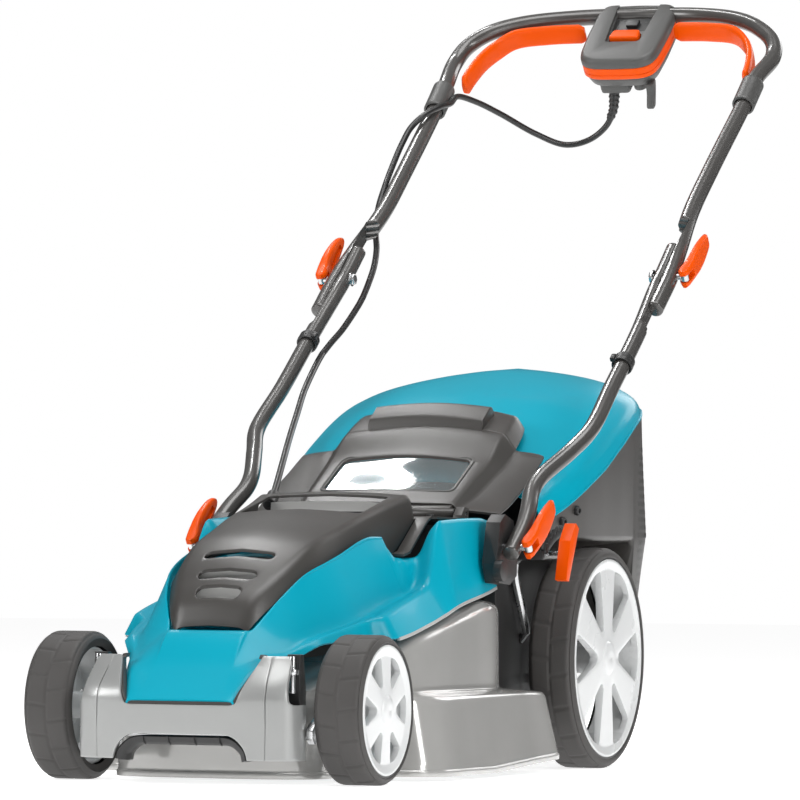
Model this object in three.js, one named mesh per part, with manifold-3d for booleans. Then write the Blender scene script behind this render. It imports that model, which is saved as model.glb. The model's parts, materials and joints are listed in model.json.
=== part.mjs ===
// A corded rotary lawn mower of the 36 cm class, with its motor, blade, wheels, folding handle and grass collector.
// Millimetres and +Z up. The mower drives towards -Y. Y is measured from the front wheels' axis and Z from the
// floor, and the finished group is moved along Y so that the middle of its box is over the origin.
import * as THREE from "three";
import { mergeVertices } from "three/addons/utils/BufferGeometryUtils.js";
import Module from "manifold-3d";

const wasm = await Module();
wasm.setup();

const GAP = 0.4; // between neighbouring pieces
const WALL = 3; // of the moulded covers

const FRONT_WHEEL = { radius: 80, rim: 69.8, inner: 139.5, outer: 195.9, y: 0, z: 80, hub: 14 };
const REAR_WHEEL = { radius: 127.2, rim: 114.1, inner: 152.3, outer: 208.4, y: 659.2, z: 127.2, hub: 18 };
const CRANK = { y: 52.2, z: 25.2, width: 8, rod: 6 }; // from a crank's pivot to its wheel's axis
const FRONT_PIVOT = { y: FRONT_WHEEL.y - CRANK.y, z: FRONT_WHEEL.z - CRANK.z };
const REAR_PIVOT = { y: REAR_WHEEL.y - CRANK.y, z: REAR_WHEEL.z - CRANK.z };
const LEVER_PIVOT = { y: 560, z: 150 };

const BLADE = { y: 240, z: 24, radius: 180, width: 46, thick: 4 };
const MOTOR = { radius: 68, bottom: 76, top: 230, flange: 84, seat: 206, shaft: 7 };

const LOWER_TUBE = 9.5; // radius
const UPPER_TUBE = 10.5;
const LOWER_CLAMP = { x: 187, y: 398, z: 254 };
const UPPER_CLAMP = { x: 207.5, y: 847, z: 575 }; // x is where the flats of the two tubes meet
const HANDLE_SLOPE = THREE.MathUtils.degToRad(35.6);
const CABLE = 3.8; // radius
const FLAP_PIN = { y: 440, z: 291, radius: 3 };
const CONSOLE = { y: 1243, z: 862, slope: THREE.MathUtils.degToRad(38) };

const LOOKS = {
  cyan: [0x00a6c4, 0.28, 0],
  deckGrey: [0x9b9b97, 0.2, 0.1],
  silver: [0xb9bcbb, 0.35, 0.4],
  darkGrey: [0x4a4847, 0.45, 0],
  black: [0x151515, 0.5, 0],
  rubber: [0x3c3a38, 0.8, 0],
  white: [0xf2f4f4, 0.3, 0],
  steel: [0xa9adb0, 0.3, 1],
  tube: [0x5d5a57, 0.25, 0.5],
  orange: [0xf25000, 0.3, 0],
  clear: [0xdfeef2, 0.05, 0],
};

// ---------- Solids for joins and cuts ----------

function solid(geometry) {
  const bare = geometry.clone();
  bare.deleteAttribute("normal");
  bare.deleteAttribute("uv");
  const merged = mergeVertices(bare, 1e-3);
  const vertProperties = merged.attributes.position.array;
  const triVerts = new Uint32Array(merged.index.array);
  const made = new wasm.Manifold(new wasm.Mesh({ numProp: 3, vertProperties, triVerts }));
  if (made.volume() > 0) return made;
  for (let i = 0; i < triVerts.length; i += 3) triVerts.subarray(i, i + 3).reverse();
  return new wasm.Manifold(new wasm.Mesh({ numProp: 3, vertProperties, triVerts }));
}

const join = (first, ...others) => others.reduce((sum, other) => sum.add(other), first);
const bothSides = (make) => [-1, 1].map(make);
const cut = (first, ...tools) => tools.reduce((left, tool) => left.subtract(tool), first);

function box(x, y, z) {
  const shape = new THREE.BoxGeometry(x[1] - x[0], y[1] - y[0], z[1] - z[0]);
  return solid(shape.translate((x[0] + x[1]) / 2, (y[0] + y[1]) / 2, (z[0] + z[1]) / 2));
}

// A cylinder along X between two X values, about the line through y and z.
function rodX(x, y, z, radius, sides = 12) {
  const shape = new THREE.CylinderGeometry(radius, radius, x[1] - x[0], sides).rotateZ(Math.PI / 2);
  return solid(shape.translate((x[0] + x[1]) / 2, y, z));
}

function rodZ(z, x, y, radius, sides = 16) {
  const shape = new THREE.CylinderGeometry(radius, radius, z[1] - z[0], sides).rotateX(Math.PI / 2);
  return solid(shape.translate(x, y, (z[0] + z[1]) / 2));
}

// An outline across an axis, as [y, z] for x, [x, z] for y and [x, y] for z, carried along it between two values.
function prism(axis, outline, from, to) {
  const shape = new THREE.Shape(outline.map(([a, b]) => new THREE.Vector2(a, b)));
  const body = new THREE.ExtrudeGeometry(shape, { depth: to - from, bevelEnabled: false });
  if (axis === "x") body.rotateX(Math.PI / 2).rotateZ(Math.PI / 2).translate(from, 0, 0);
  if (axis === "y") body.rotateX(Math.PI / 2).translate(0, to, 0);
  if (axis === "z") body.translate(0, 0, from);
  return solid(body);
}

// A profile of [radius, x] points turned about the X line through y and z.
function turnedX(profile, y, z, sides) {
  const points = profile.map(([radius, x]) => new THREE.Vector2(radius, x));
  const shape = new THREE.LatheGeometry(points, sides).rotateY(Math.PI / 2 - Math.PI / sides);
  return solid(shape.rotateZ(-Math.PI / 2).rotateX(-Math.PI / 2).translate(0, y, z));
}

function turnedZ(profile, x, y, sides) {
  const points = profile.map(([radius, z]) => new THREE.Vector2(radius, z));
  return solid(new THREE.LatheGeometry(points, sides).rotateX(Math.PI / 2).translate(x, y, 0));
}

// The triangles that close a ring, running the same way round as its points or the other way.
function lid(ring, start, sameWay) {
  const size = (k) => Math.max(...ring.map((p) => p[k])) - Math.min(...ring.map((p) => p[k]));
  const thin = [0, 1, 2].reduce((least, k) => (size(k) < size(least) ? k : least), 0);
  const flat = ring.map((p) => new THREE.Vector2(p[(thin + 1) % 3], p[(thin + 2) % 3]));
  const faces = THREE.ShapeUtils.triangulateShape(flat, []);
  const runsOn = faces.some((face) => face.some((v, k) => face[(k + 1) % 3] === (v + 1) % ring.length));
  return faces.flatMap((face) => (runsOn === sameWay ? face : face.toReversed()).map((v) => start + v));
}

// A closed body through rings that all have the same number of [x, y, z] points.
function loft(rings) {
  const count = rings[0].length;
  const last = (rings.length - 1) * count;
  const index = [...lid(rings[0], 0, false), ...lid(rings[rings.length - 1], last, true)];
  for (let start = 0; start < last; start += count)
    for (let i = 0; i < count; i++) {
      const near = [start + i, start + ((i + 1) % count)];
      index.push(near[0], near[1], near[1] + count, near[0], near[1] + count, near[0] + count);
    }
  const shape = new THREE.BufferGeometry();
  shape.setAttribute("position", new THREE.BufferAttribute(new Float32Array(rings.flat(2)), 3));
  return solid(shape.setIndex(index));
}

// A ring from its right half, which starts and ends on X = 0.
const mirrored = (half) => [...half, ...half.slice(1, -1).reverse().map(([x, y, z]) => [-x, y, z])];

// A line of points moved sideways by a distance, towards its right.
function beside(line, distance) {
  return line.map(([a, b], i) => {
    const [a0, b0] = line[Math.max(i - 1, 0)];
    const [a1, b1] = line[Math.min(i + 1, line.length - 1)];
    const length = Math.hypot(a1 - a0, b1 - b0) || 1;
    return [a + ((b1 - b0) / length) * distance, b - ((a1 - a0) / length) * distance];
  });
}

// A round tube along a smooth curve through points.
function tube(points, radius, steps, sides = 10) {
  const curve = new THREE.CatmullRomCurve3(points.map((p) => new THREE.Vector3(...p)), false, "centripetal");
  const section = new THREE.Shape();
  for (let k = 0; k < sides; k++) {
    const turn = (k * 2 * Math.PI) / sides;
    section[k ? "lineTo" : "moveTo"](radius * Math.cos(turn), radius * Math.sin(turn));
  }
  section.closePath();
  return solid(new THREE.ExtrudeGeometry(section, { steps, extrudePath: curve, bevelEnabled: false }));
}

// A flat bar along a curve, thin along one direction that stays the same.
function strap(points, up, wide, thin, steps) {
  const curve = new THREE.CatmullRomCurve3(points.map((p) => new THREE.Vector3(...p)), false, "centripetal");
  const rings = [];
  for (let k = 0; k <= steps; k++) {
    const middle = curve.getPointAt(k / steps);
    const across = new THREE.Vector3().crossVectors(curve.getTangentAt(k / steps), up).normalize();
    const corner = (a, b) => middle.clone().addScaledVector(across, a).addScaledVector(up, b).toArray();
    const [w, t] = [wide / 2, thin / 2];
    rings.push([
      corner(t, w * 0.6),
      corner(t * 0.5, w),
      corner(-t * 0.5, w),
      corner(-t, w * 0.6),
      corner(-t, -w * 0.6),
      corner(-t * 0.5, -w),
      corner(t * 0.5, -w),
      corner(t, -w * 0.6),
    ]);
  }
  return loft(rings);
}

// ---------- The group and its meshes ----------

const mower = new THREE.Group();

function add(name, made, look) {
  const { vertProperties, triVerts } = made.getMesh();
  const shape = new THREE.BufferGeometry();
  shape.setAttribute("position", new THREE.BufferAttribute(vertProperties, 3));
  shape.setIndex(new THREE.BufferAttribute(triVerts, 1));
  const flat = shape.toNonIndexed();
  flat.computeVertexNormals();
  const [color, roughness, metalness] = LOOKS[look];
  const mesh = new THREE.Mesh(flat, new THREE.MeshStandardMaterial({ color, roughness, metalness }));
  mesh.name = name;
  mower.add(mesh);
}

// Makes a piece once for the right and mirrors it for the left.
function addPair(name, made, look) {
  add(name + "_right", made, look);
  add(name + "_left", made.mirror([1, 0, 0]), look);
}

// Keeps a table of rows whose first value is a place, and reads a row in between by straight lines.
function between(rows) {
  return (place) => {
    const next = Math.min(Math.max(rows.findIndex((row) => row[0] >= place), 1), rows.length - 1);
    const [low, high] = [rows[next - 1], rows[next]];
    const share = (place - low[0]) / (high[0] - low[0]);
    return low.map((value, k) => value + share * (high[k] - value));
  };
}

// ---------- Deck, covers and frame ----------

// Right half of the deck's outline, as [x, y, height of the top there]: front, wheel notch, side, rear corner.
const DECK_RIM = [
  [0, -42], [60, -40], [100, -28], [118, -2], [119, 60], [122, 91], [150, 112], [186, 124],
  [203, 152], [206, 240], [206, 330], [205, 430], [203, 508], [186, 514], [140, 514], [0, 514],
];
const DECK_LEDGE = [
  [0, -40], [59, -38], [97, -27], [114, -2], [115, 60], [119, 94], [144, 118], [174, 130],
  [188, 156], [192, 240], [192, 330], [191, 430], [190, 494], [176, 504], [138, 506], [0, 506],
];
const DECK_TIER = [
  [0, -38], [57, -36], [94, -26], [110, -2], [111, 60], [115, 96], [140, 121], [158, 134],
  [168, 158], [172, 240], [172, 330], [172, 384], [162, 424], [142, 452], [120, 470], [0, 470],
];
const DECK_TOP = between([[-42, 98], [60, 126], [96, 134], [122, 146], [240, 172], [330, 188], [385, 195], [520, 195]]);

function deckShell() {
  const rimHeight = (y) => THREE.MathUtils.clamp(5 + (y - 300) * 0.05, 5, 16);
  const level = (outline, inset, height) => mirrored(beside(outline, -inset).map(([x, y], i) => {
    const ends = i === 0 || i === outline.length - 1;
    return [ends ? 0 : x, y, height(outline[i][1])];
  }));
  const layers = (inset, drop) => [
    level(DECK_RIM, inset, (y) => (drop ? -5 : rimHeight(y))),
    level(DECK_LEDGE, inset, (y) => 92 - drop),
    level(DECK_TIER, inset, (y) => 97 - drop),
    level(DECK_TIER, inset + 2, (y) => DECK_TOP(y)[1] - 7 - drop),
    level(DECK_TIER, inset + 9, (y) => DECK_TOP(y)[1] - drop),
  ];
  const shell = cut(loft(layers(0, 0)), loft(layers(3.5, 3.5)));
  const seat = rodZ([150, MOTOR.seat - GAP], 0, BLADE.y, MOTOR.radius + 10, 24);
  const bore = rodZ([60, 240], 0, BLADE.y, MOTOR.radius + 1.5, 24);
  const discharge = join(box([-116, 116], [440, 530], [-10, 180]), box([-137, 137], [474, 530], [-10, 180]));
  return cut(join(shell, seat), bore, discharge);
}
add("deck_shell", deckShell(), "deckGrey");

// The bonnet by distance along Y: pocket floor height and half width, crease height, cheek foot, valley,
// shoulder and lower edge. The engine cover lies in its pocket.
const BONNET = [
  // y, floor, half width, crease, cheek x, z, valley x, z, shoulder x, z, edge x, z
  [-107, 90.5, 45, 90.5, 54, 90, 58, 89.5, 60, 89, 62, 86],
  [-70, 125, 45, 125, 70, 124, 74, 122, 76, 120, 78, 116],
  [-30, 163, 45, 163, 80, 140, 87, 138, 93, 136, 97, 129],
  [-25, 150, 46, 166, 82, 143, 89, 140, 95, 138, 99, 130],
  [14, 188, 66, 204, 100, 157, 107, 155, 121, 157, 129, 149],
  [48, 212, 77, 226, 106, 165, 112, 162, 126, 165, 132, 150],
  [93, 226, 85, 240, 113, 176, 118, 171, 133, 175, 137, 153],
  [112, 229, 86.5, 245, 115, 180, 121, 175, 147, 181, 161, 155],
  [207, 239, 91.5, 267, 118, 204, 124, 196, 145, 203, 165, 172],
  [228, 240, 92.5, 267, 119, 209, 124.5, 200, 145, 208, 166, 177],
  [242, 240, 93, 242, 116, 241, 125, 206, 144, 214, 166, 180],
  [292, 240, 93, 242, 120, 241, 127, 272, 140, 286, 163, 190],
  [407, 240, 93, 242, 122, 241, 128, 284, 146, 288, 157, 206],
  [428, 240, 93, 242, 122, 241, 128, 282, 145, 286, 156, 210],
];

function bonnet() {
  const ring = ([y, floor, half, crease, ...feet], inset) => {
    const line = [[0, floor], [half, floor], [half + 2, crease]];
    for (let k = 0; k < feet.length; k += 2) line.push([feet[k], feet[k + 1]]);
    const moved = beside(line, inset);
    const [edgeX, edgeZ] = moved[moved.length - 1];
    const low = edgeZ - (inset ? 20 : 1);
    moved[0][0] = 0;
    return mirrored([...moved, [edgeX, low], [0, low]].map(([x, z]) => [x, y, z]));
  };
  const inner = BONNET.map((row) => [row[0] + (row[0] < -100 ? 6 : 0), ...row.slice(1)]);
  inner[inner.length - 1][0] += 10;
  return cut(loft(BONNET.map((row) => ring(row, 0))), loft(inner.map((row) => ring(row, WALL))));
}
add("bonnet", bonnet(), "cyan");

// The dark cover over the motor: height of its middle, then its top edge and foot on the right.
const COWL = [
  // y, middle, top edge x, z, foot x, z
  [-24.5, 168, 36, 166, 42, 161],
  [-14, 194, 42, 190, 51, 175],
  [18, 223, 55, 217, 66, 200],
  [48, 243, 63, 235, 75.5, 216],
  [93, 264, 70, 256, 83.5, 229],
  [150, 279, 75, 271, 87, 236],
  [199, 290, 79, 284, 90, 242],
  [264, 303, 84, 298, 92.2, 246],
  [322, 315, 91, 311, 97, 284],
];
const COWL_RECESS = { half: 72, from: 222, to: 310 };

function cowl() {
  const ring = ([y, middle, topX, topZ, footX, footZ], inset) => {
    const line = [[0, middle], [topX * 0.55, middle - (middle - topZ) * 0.35], [topX, topZ], [footX, footZ]];
    const moved = beside(line, inset);
    const low = inset ? footZ - 12 : footZ;
    const half = [[0, moved[0][1]], moved[1], moved[2], [moved[3][0], low], [0, low]];
    return mirrored(half.map(([x, z]) => [x, y, z]));
  };
  const inner = COWL.map((row, k) => [row[0] + (k ? 0 : 3), ...row.slice(1)]);
  inner[inner.length - 1][0] += 5;
  const recess = box([-COWL_RECESS.half, COWL_RECESS.half], [COWL_RECESS.from, COWL_RECESS.to], [262, 330]);
  const slots = [[4, 21, 205], [29, 26, 224], [56, 32, 242]].map(([y, half, z]) =>
    box([-half, half], [y - 5, y + 5], [z - 16, z + 30]));
  return cut(loft(COWL.map((row) => ring(row, 0))), loft(inner.map((row) => ring(row, WALL))), recess, ...slots);
}
add("motor_cowl", cowl(), "darkGrey");

// The air intake's slatted insert in the cowl's recess.
function intakeGrille() {
  const y = [COWL_RECESS.from + 1, COWL_RECESS.to - 1];
  const side = COWL_RECESS.half - 1;
  const floor = prism("x", [[y[0], 262], [y[1], 268], [y[1], 271], [y[0], 265]], -side, side);
  const slats = [0.22, 0.5, 0.78].map((share) => {
    const at = y[0] + share * (y[1] - y[0]);
    return prism("x", [[at, 262], [at + 6, 262], [at + 10, 284 + share * 8], [at + 4, 284 + share * 8]], -side, side);
  });
  return join(floor, ...slats);
}
add("intake_grille", intakeGrille(), "black");

// The dark tray between the cowl and the flap, which also carries the flap's pin.
function rearTray() {
  const top = [[248, 246], [266, 249], [318, 283], [330, 288], [431, 286]];
  const plate = (line, half) => prism("x", [...line, ...beside(line, WALL).reverse()], -half, half);
  const lugs = [-114, -38, 28, 104].map((x) => cut(
    prism("x", [[424, 284], [436, 284], [446, 282], [447, 298], [434, 299], [424, 290]], x, x + 10),
    rodX([x - 1, x + 11], FLAP_PIN.y, FLAP_PIN.z, FLAP_PIN.radius + GAP, 8)));
  const hollow = box([-99, 99], [200, 324], [200, 320]);
  return join(cut(plate(top, 114), hollow), plate(top.slice(3), 121), ...lugs);
}
add("rear_tray", rearTray(), "darkGrey");

// The silver bumper leans back above the bonnet's lower edge and has an arch for a lifting hand.
const LEAN = between([[27, -106], [90, -107], [137, -74]]);

function fascia() {
  const level = (z) => {
    const front = LEAN(z)[1];
    const end = Math.max(-60, front + 34);
    const outer = [[0, front - 1], [60, front - 1], [100, front + 4], [120, front + 13], [126, front + 26], [126, end]];
    const inner = [[122, end], [122, front + 28], [117, front + 17], [98, front + 8], [59, front + 3], [0, front + 3]];
    return mirrored([...outer, ...inner].map(([x, y]) => [x, y, z]));
  };
  const band = loft([27, 60, 88, 112, 137].map((z) => level(z)));
  const window = prism("y", [[-63, 85], [63, 85], [66, 90], [86, 140], [-86, 140], [-66, 90]], -130, -30);
  const arch = prism("y", [[-79, 20], [79, 20], [76, 38], [60, 54], [-60, 54], [-76, 38]], -130, -30);
  const stepped = [[110, 141], [119, 86], [135, 86], [135, 141]];
  const steps = bothSides((side) => prism("y", stepped.map(([x, z]) => [x * side, z]), -130, -30));
  return cut(band, window, arch, ...steps);
}

function fasciaGrip() {
  const outer = [[-77, 27], [-75.2, 38], [-59.6, 53.4], [59.6, 53.4], [75.2, 38], [77, 27]];
  const inner = [[64, 27], [62, 34], [52, 43], [-52, 43], [-62, 34], [-64, 27]];
  const bar = prism("y", [...outer, ...inner], -102, -72);
  const ribs = [-40, -14, 14, 40].map((x) => box([x - 1, x + 1], [-104, -101], [44, 52.5]));
  return join(bar, ...ribs);
}

add("front_fascia", fascia(), "silver");
add("lifting_grip", fasciaGrip(), "black");

// Posts behind the bumper's ends, which the front axle turns in, each with a steel pin in its top.
function axlePost() {
  const outline = [[-60, 44], [-44, 44], [-43, 100], [-50, 139], [-60, 139], [-62, 100]];
  return cut(prism("x", outline, 104, 119), rodX([100, 122], FRONT_PIVOT.y, FRONT_PIVOT.z, CRANK.rod + GAP));
}
addPair("axle_post", axlePost(), "black");

function rearFrame() {
  const wall = [[476, 22], [520, 22], [556, 60], [700, 60], [700, 196], [640, 250], [552, 252], [540, 278],
    [476, 278]];
  const chute = [[476, 24], [482, 22], [556, 112], [551, 116], [476, 29]];
  const sides = bothSides((side) => prism("x", wall, side > 0 ? 122 : -136, side > 0 ? 136 : -122));
  const floor = prism("x", chute, -123, 123);
  const front = box([-123, 123], [476, 480], [206, 278]);
  const axle = rodX([-140, 140], REAR_PIVOT.y, REAR_PIVOT.z, CRANK.rod + GAP);
  const lever = rodX([120, 140], LEVER_PIVOT.y, LEVER_PIVOT.z, 6 + GAP);
  return cut(join(floor, front, ...sides), axle, lever);
}
add("rear_frame", rearFrame(), "black");

// The handle's lower fixing: a block behind each shoulder of the bonnet, with a round boss.
function handleBracket() {
  const outline = [[372, 236], [384, 282], [400, 291], [426, 284], [440, 254], [438, 222], [416, 212], [382, 214]];
  const block = prism("x", outline, 159, 176);
  const boss = rodX([175, 184], 376, 228, 12, 14);
  const web = box([134, 160], [430.4, 438], [224, 262]);
  const bolt = rodX([150, 178], LOWER_CLAMP.y, LOWER_CLAMP.z, 4 + GAP, 10);
  const pocket = rodX([150, 164 + GAP], LOWER_CLAMP.y, LOWER_CLAMP.z, 9, 12);
  return cut(join(block, boss, web), bolt, pocket);
}
addPair("handle_bracket", handleBracket(), "black");

// A toothed sector that the cutting height lever clicks along.
function heightQuadrant() {
  const arc = (radius, from, to, count) => Array.from({ length: count + 1 }, (_, k) => {
    const turn = THREE.MathUtils.degToRad(from + ((to - from) * k) / count);
    const reach = typeof radius === "function" ? radius(k) : radius;
    return [LEVER_PIVOT.y + reach * Math.cos(turn), LEVER_PIVOT.z + reach * Math.sin(turn)];
  });
  const teeth = arc((k) => (k % 2 ? 131 : 126), 126, 94, 12);
  const sector = prism("x", [...teeth, ...arc(119, 94, 126, 5)], 187, 193);
  const strut = box([136 + GAP, 190], [484, 491], [240, 250]);
  return join(sector, strut);
}

// ---------- Motor and blade ----------

function motorHousing() {
  const { radius, bottom, top, flange, seat, shaft } = MOTOR;
  const profile = [
    [shaft + GAP, bottom], [radius - 10, bottom], [radius, bottom + 10], [radius, seat], [flange, seat],
    [flange, seat + 6], [radius - 2, seat + 6], [radius - 4, top - 6], [radius - 14, top], [0, top],
    [0, top - 70], [shaft + GAP, top - 70], [shaft + GAP, bottom],
  ];
  return turnedZ(profile, 0, BLADE.y, 20);
}
add("motor_housing", motorHousing(), "black");
add("motor_shaft", rodZ([BLADE.z - 0.1, 150], 0, BLADE.y, MOTOR.shaft, 16), "steel");

const shaftBore = rodZ([0, 80], 0, BLADE.y, MOTOR.shaft + GAP, 16);

function blade() {
  const { y, z, radius, width, thick } = BLADE;
  const half = width / 2;
  const outline = [
    [-radius + 4, y - half], [radius - 60, y - half], [radius - 4, y - half + 6], [radius - 1, y],
    [radius - 4, y + half], [-radius + 60, y + half], [-radius + 4, y + half - 6], [-radius + 1, y],
  ];
  const wing = (side) => prism("x", [[y + side * (half - 0.5), z + thick], [y + side * half, z + thick - 2],
    [y + side * (half - 2), z + thick + 12], [y + side * (half - 5), z + thick + 12], [y + side * (half - 8), z + thick]],
  side > 0 ? 100 : -radius + 8, side > 0 ? radius - 8 : -100);
  return cut(join(prism("z", outline, z, z + thick), wing(1), wing(-1)), shaftBore);
}
add("blade", blade(), "steel");

function bladeHub() {
  const base = BLADE.z + BLADE.thick + GAP;
  const vanes = Array.from({ length: 6 }, (_, k) => {
    const vane = new THREE.BoxGeometry(30, 2.5, 16).translate(40, 0, base + 12).rotateZ((k * Math.PI) / 3);
    return solid(vane.translate(0, BLADE.y, 0));
  });
  const disc = turnedZ([[0, base], [56, base + 3], [56, base + 6], [26, base + 6], [20, base + 24], [0, base + 24]],
    0, BLADE.y, 16);
  return cut(join(disc, ...vanes), shaftBore);
}
add("blade_hub", bladeHub(), "black");
add("blade_bolt", join(rodZ([BLADE.z - 10, BLADE.z - 3.4], 0, BLADE.y, 11, 6), rodZ([BLADE.z - 4, BLADE.z - GAP], 0,
  BLADE.y, 15, 20)), "steel");

// ---------- Wheels on crank axles ----------

function crankAxle(pivot, wheel) {
  const arm = wheel.inner - 4.5;
  const rod = rodX([-arm, arm], pivot.y, pivot.z, CRANK.rod);
  const plates = bothSides((side) => {
    const [near, far] = side > 0 ? [arm - CRANK.width, arm] : [-arm, -arm + CRANK.width];
    const [dy, dz] = [CRANK.y, CRANK.z].map((value) => value / Math.hypot(CRANK.y, CRANK.z));
    const outline = [[-11, 0], [-8, -8], [0, -11], [58, -11], [66, -8], [69, 0], [66, 8], [58, 11], [0, 11], [-8, 8]];
    return prism("x", outline.map(([a, b]) => [pivot.y + a * dy - b * dz, pivot.z + a * dz + b * dy]), near, far);
  });
  const stubs = bothSides((side) => {
    const reach = [side * (arm - 2), side * (wheel.outer - 12)].sort((a, b) => a - b);
    return rodX(reach, wheel.y, wheel.z, CRANK.rod);
  });
  return join(rod, ...plates, ...stubs);
}
add("front_axle", crankAxle(FRONT_PIVOT, FRONT_WHEEL), "steel");
add("rear_axle", crankAxle(REAR_PIVOT, REAR_WHEEL), "steel");

const WHEEL_SIDES = 22;

function tyre({ radius, rim, inner, outer, y, z }) {
  const reach = radius / Math.cos(Math.PI / WHEEL_SIDES);
  const profile = [
    [rim - 6, inner + 4], [radius - 8, inner], [reach, inner + 8], [reach, outer - 8], [radius - 6, outer],
    [rim + GAP, outer], [rim + GAP, outer - 6], [rim - 6, outer - 8], [rim - 6, inner + 4],
  ];
  return turnedX(profile, y, z, WHEEL_SIDES);
}

// The rim's barrel, its face with six openings between broad spokes, and its hub.
function rim({ rim: edge, hub, inner, outer, y, z }) {
  const face = outer - 9;
  const drum = edge - 6 - GAP;
  const profile = [
    [CRANK.rod + GAP, inner + 10], [hub, inner + 10], [hub + 1, face - 3], [drum - 3, face - 1], [drum - 3, inner + 8],
    [drum, inner + 8], [drum, outer - 7.2], [edge, outer - 5.2], [edge, outer - 1], [drum - 4, outer - 3],
    [hub + 1, outer - 1], [hub - 1, outer + 1.6], [0, outer + 2.6], [0, outer - 11], [CRANK.rod + GAP, outer - 11],
    [CRANK.rod + GAP, inner + 10],
  ];
  const openings = Array.from({ length: 6 }, (_, k) => {
    const [near, far] = [hub + 8 + edge * 0.08, drum - 6];
    const shape = new THREE.Shape();
    shape.moveTo(near, -near * 0.13);
    shape.lineTo(far * 0.97, -far * 0.29);
    shape.quadraticCurveTo(far * 1.06, 0, far * 0.97, far * 0.29);
    shape.lineTo(near, near * 0.13);
    shape.closePath();
    const hole = new THREE.ExtrudeGeometry(shape, { depth: outer - inner, bevelEnabled: false, curveSegments: 2 });
    return solid(hole.rotateZ((k * Math.PI) / 3).rotateY(Math.PI / 2).translate(inner, y, z));
  });
  return cut(turnedX(profile, y, z, WHEEL_SIDES), ...openings);
}

for (const [name, wheel] of Object.entries({ front: FRONT_WHEEL, rear: REAR_WHEEL })) {
  addPair(name + "_tyre", tyre(wheel), "rubber");
  addPair(name + "_rim", rim(wheel), "white");
}

// ---------- Cutting height lever ----------

const leverArm = tube([[124, LEVER_PIVOT.y, LEVER_PIVOT.z], [143, LEVER_PIVOT.y, LEVER_PIVOT.z],
  [144, 552, 165], [144, 516, 230], [152, 508, 243], [190, 505, 245], [212, 503, 246]], 5, 14, 8);
add("height_quadrant", heightQuadrant(), "black");
const leverGrip = prism("x", [[483, 218], [492, 216], [524, 276], [514, 282], [496, 262]], 205, 219);
add("height_lever", cut(leverArm, leverGrip), "steel");
add("height_lever_grip", cut(leverGrip, leverArm), "orange");

// ---------- Folding handle ----------

const RIGHT_LOWER_TUBE = [
  [187, 387, 246], [187, 398, 254], [187, 428, 276], [183, 455, 297], [176, 486, 319], [178, 506, 333],
  [195, 555, 363], [207, 590, 388], [206, 665, 440], [206, 757, 507], [203, 821, 556], [202.5, 847, 575],
  [202.5, 892, 611],
];
const RIGHT_LOOP = [
  [213, 793, 534], [213, 847, 575], [208, 895, 611], [200, 960, 658], [200, 1035, 715], [203, 1148, 801],
  [204, 1184, 832], [211, 1234, 864], [203, 1255, 885], [180, 1270, 903], [144, 1292, 916], [80, 1324, 925],
  [0, 1335, 927],
];
const mirrorX = ([x, y, z]) => [-x, y, z];
const flats = [760, 935];

function lowerTube() {
  const round = tube(RIGHT_LOWER_TUBE, LOWER_TUBE, 22, 8);
  const flat = box([UPPER_CLAMP.x, 240], flats, [400, 700]);
  const lowerHole = rodX([150, 240], LOWER_CLAMP.y, LOWER_CLAMP.z, 4 + GAP, 12);
  const upperHole = rodX([150, 240], UPPER_CLAMP.y, UPPER_CLAMP.z, 4 + GAP, 12);
  return cut(round, flat, lowerHole, upperHole);
}
addPair("lower_tube", lowerTube(), "tube");

function handleLoop() {
  const path = [...RIGHT_LOOP, ...RIGHT_LOOP.slice(0, -1).reverse().map(mirrorX)];
  const round = tube(path, UPPER_TUBE, 48, 8);
  const inside = bothSides((side) => box(side > 0 ? [190, UPPER_CLAMP.x + GAP] : [-UPPER_CLAMP.x - GAP, -190],
    flats, [400, 700]));
  const hole = rodX([-240, 240], UPPER_CLAMP.y, UPPER_CLAMP.z, 4 + GAP, 12);
  return cut(round, ...inside, hole);
}
add("handle_loop", handleLoop(), "tube");

// A cam lever lying along the tube, forked round the bolt's eye, and its bolt with a cross pin.
const LEVER_LENGTH = 88;

function clampPair(name, clamp, from, pin) {
  const turn = (made) => made.rotate([THREE.MathUtils.radToDeg(HANDLE_SLOPE), 0, 0]).translate([pin, clamp.y, clamp.z]);
  const outline = [[-7, 0], [-5, -5], [0, -7], [5, -5], [7, 2], [9, 20], [7, LEVER_LENGTH - 12], [3, LEVER_LENGTH],
    [0, LEVER_LENGTH], [-2, 30], [-5, 14]];
  const arm = prism("z", outline, -11, 11);
  const taper = bothSides((side) => prism("x", [[30, side * 11.5], [LEVER_LENGTH + 1, side * 4],
    [LEVER_LENGTH + 1, side * 14], [30, side * 14]], -20, 20));
  const fork = box([-10, 10], [-10, 13], [-4.8, 4.8]);
  const bore = rodZ([-14, 14], 0, 0, 2.4 + GAP, 8);
  addPair(name + "_lever", turn(cut(arm, fork, bore, ...taper)), "orange");
  const rod = rodX([from, pin], clamp.y, clamp.z, 4, 10);
  const head = rodX([from - 4.5, from], clamp.y, clamp.z, 7.5, 6);
  const eye = turn(join(rodZ([-4.4, 4.4], 0, 0, 5, 10), rodZ([-10.6, 10.6], 0, 0, 2.4, 8)));
  addPair(name + "_bolt", join(rod, head, eye), "steel");
}
clampPair("lower_clamp", LOWER_CLAMP, 164, 204.5);
clampPair("upper_clamp", UPPER_CLAMP, 192.4, 231.6);

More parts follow.
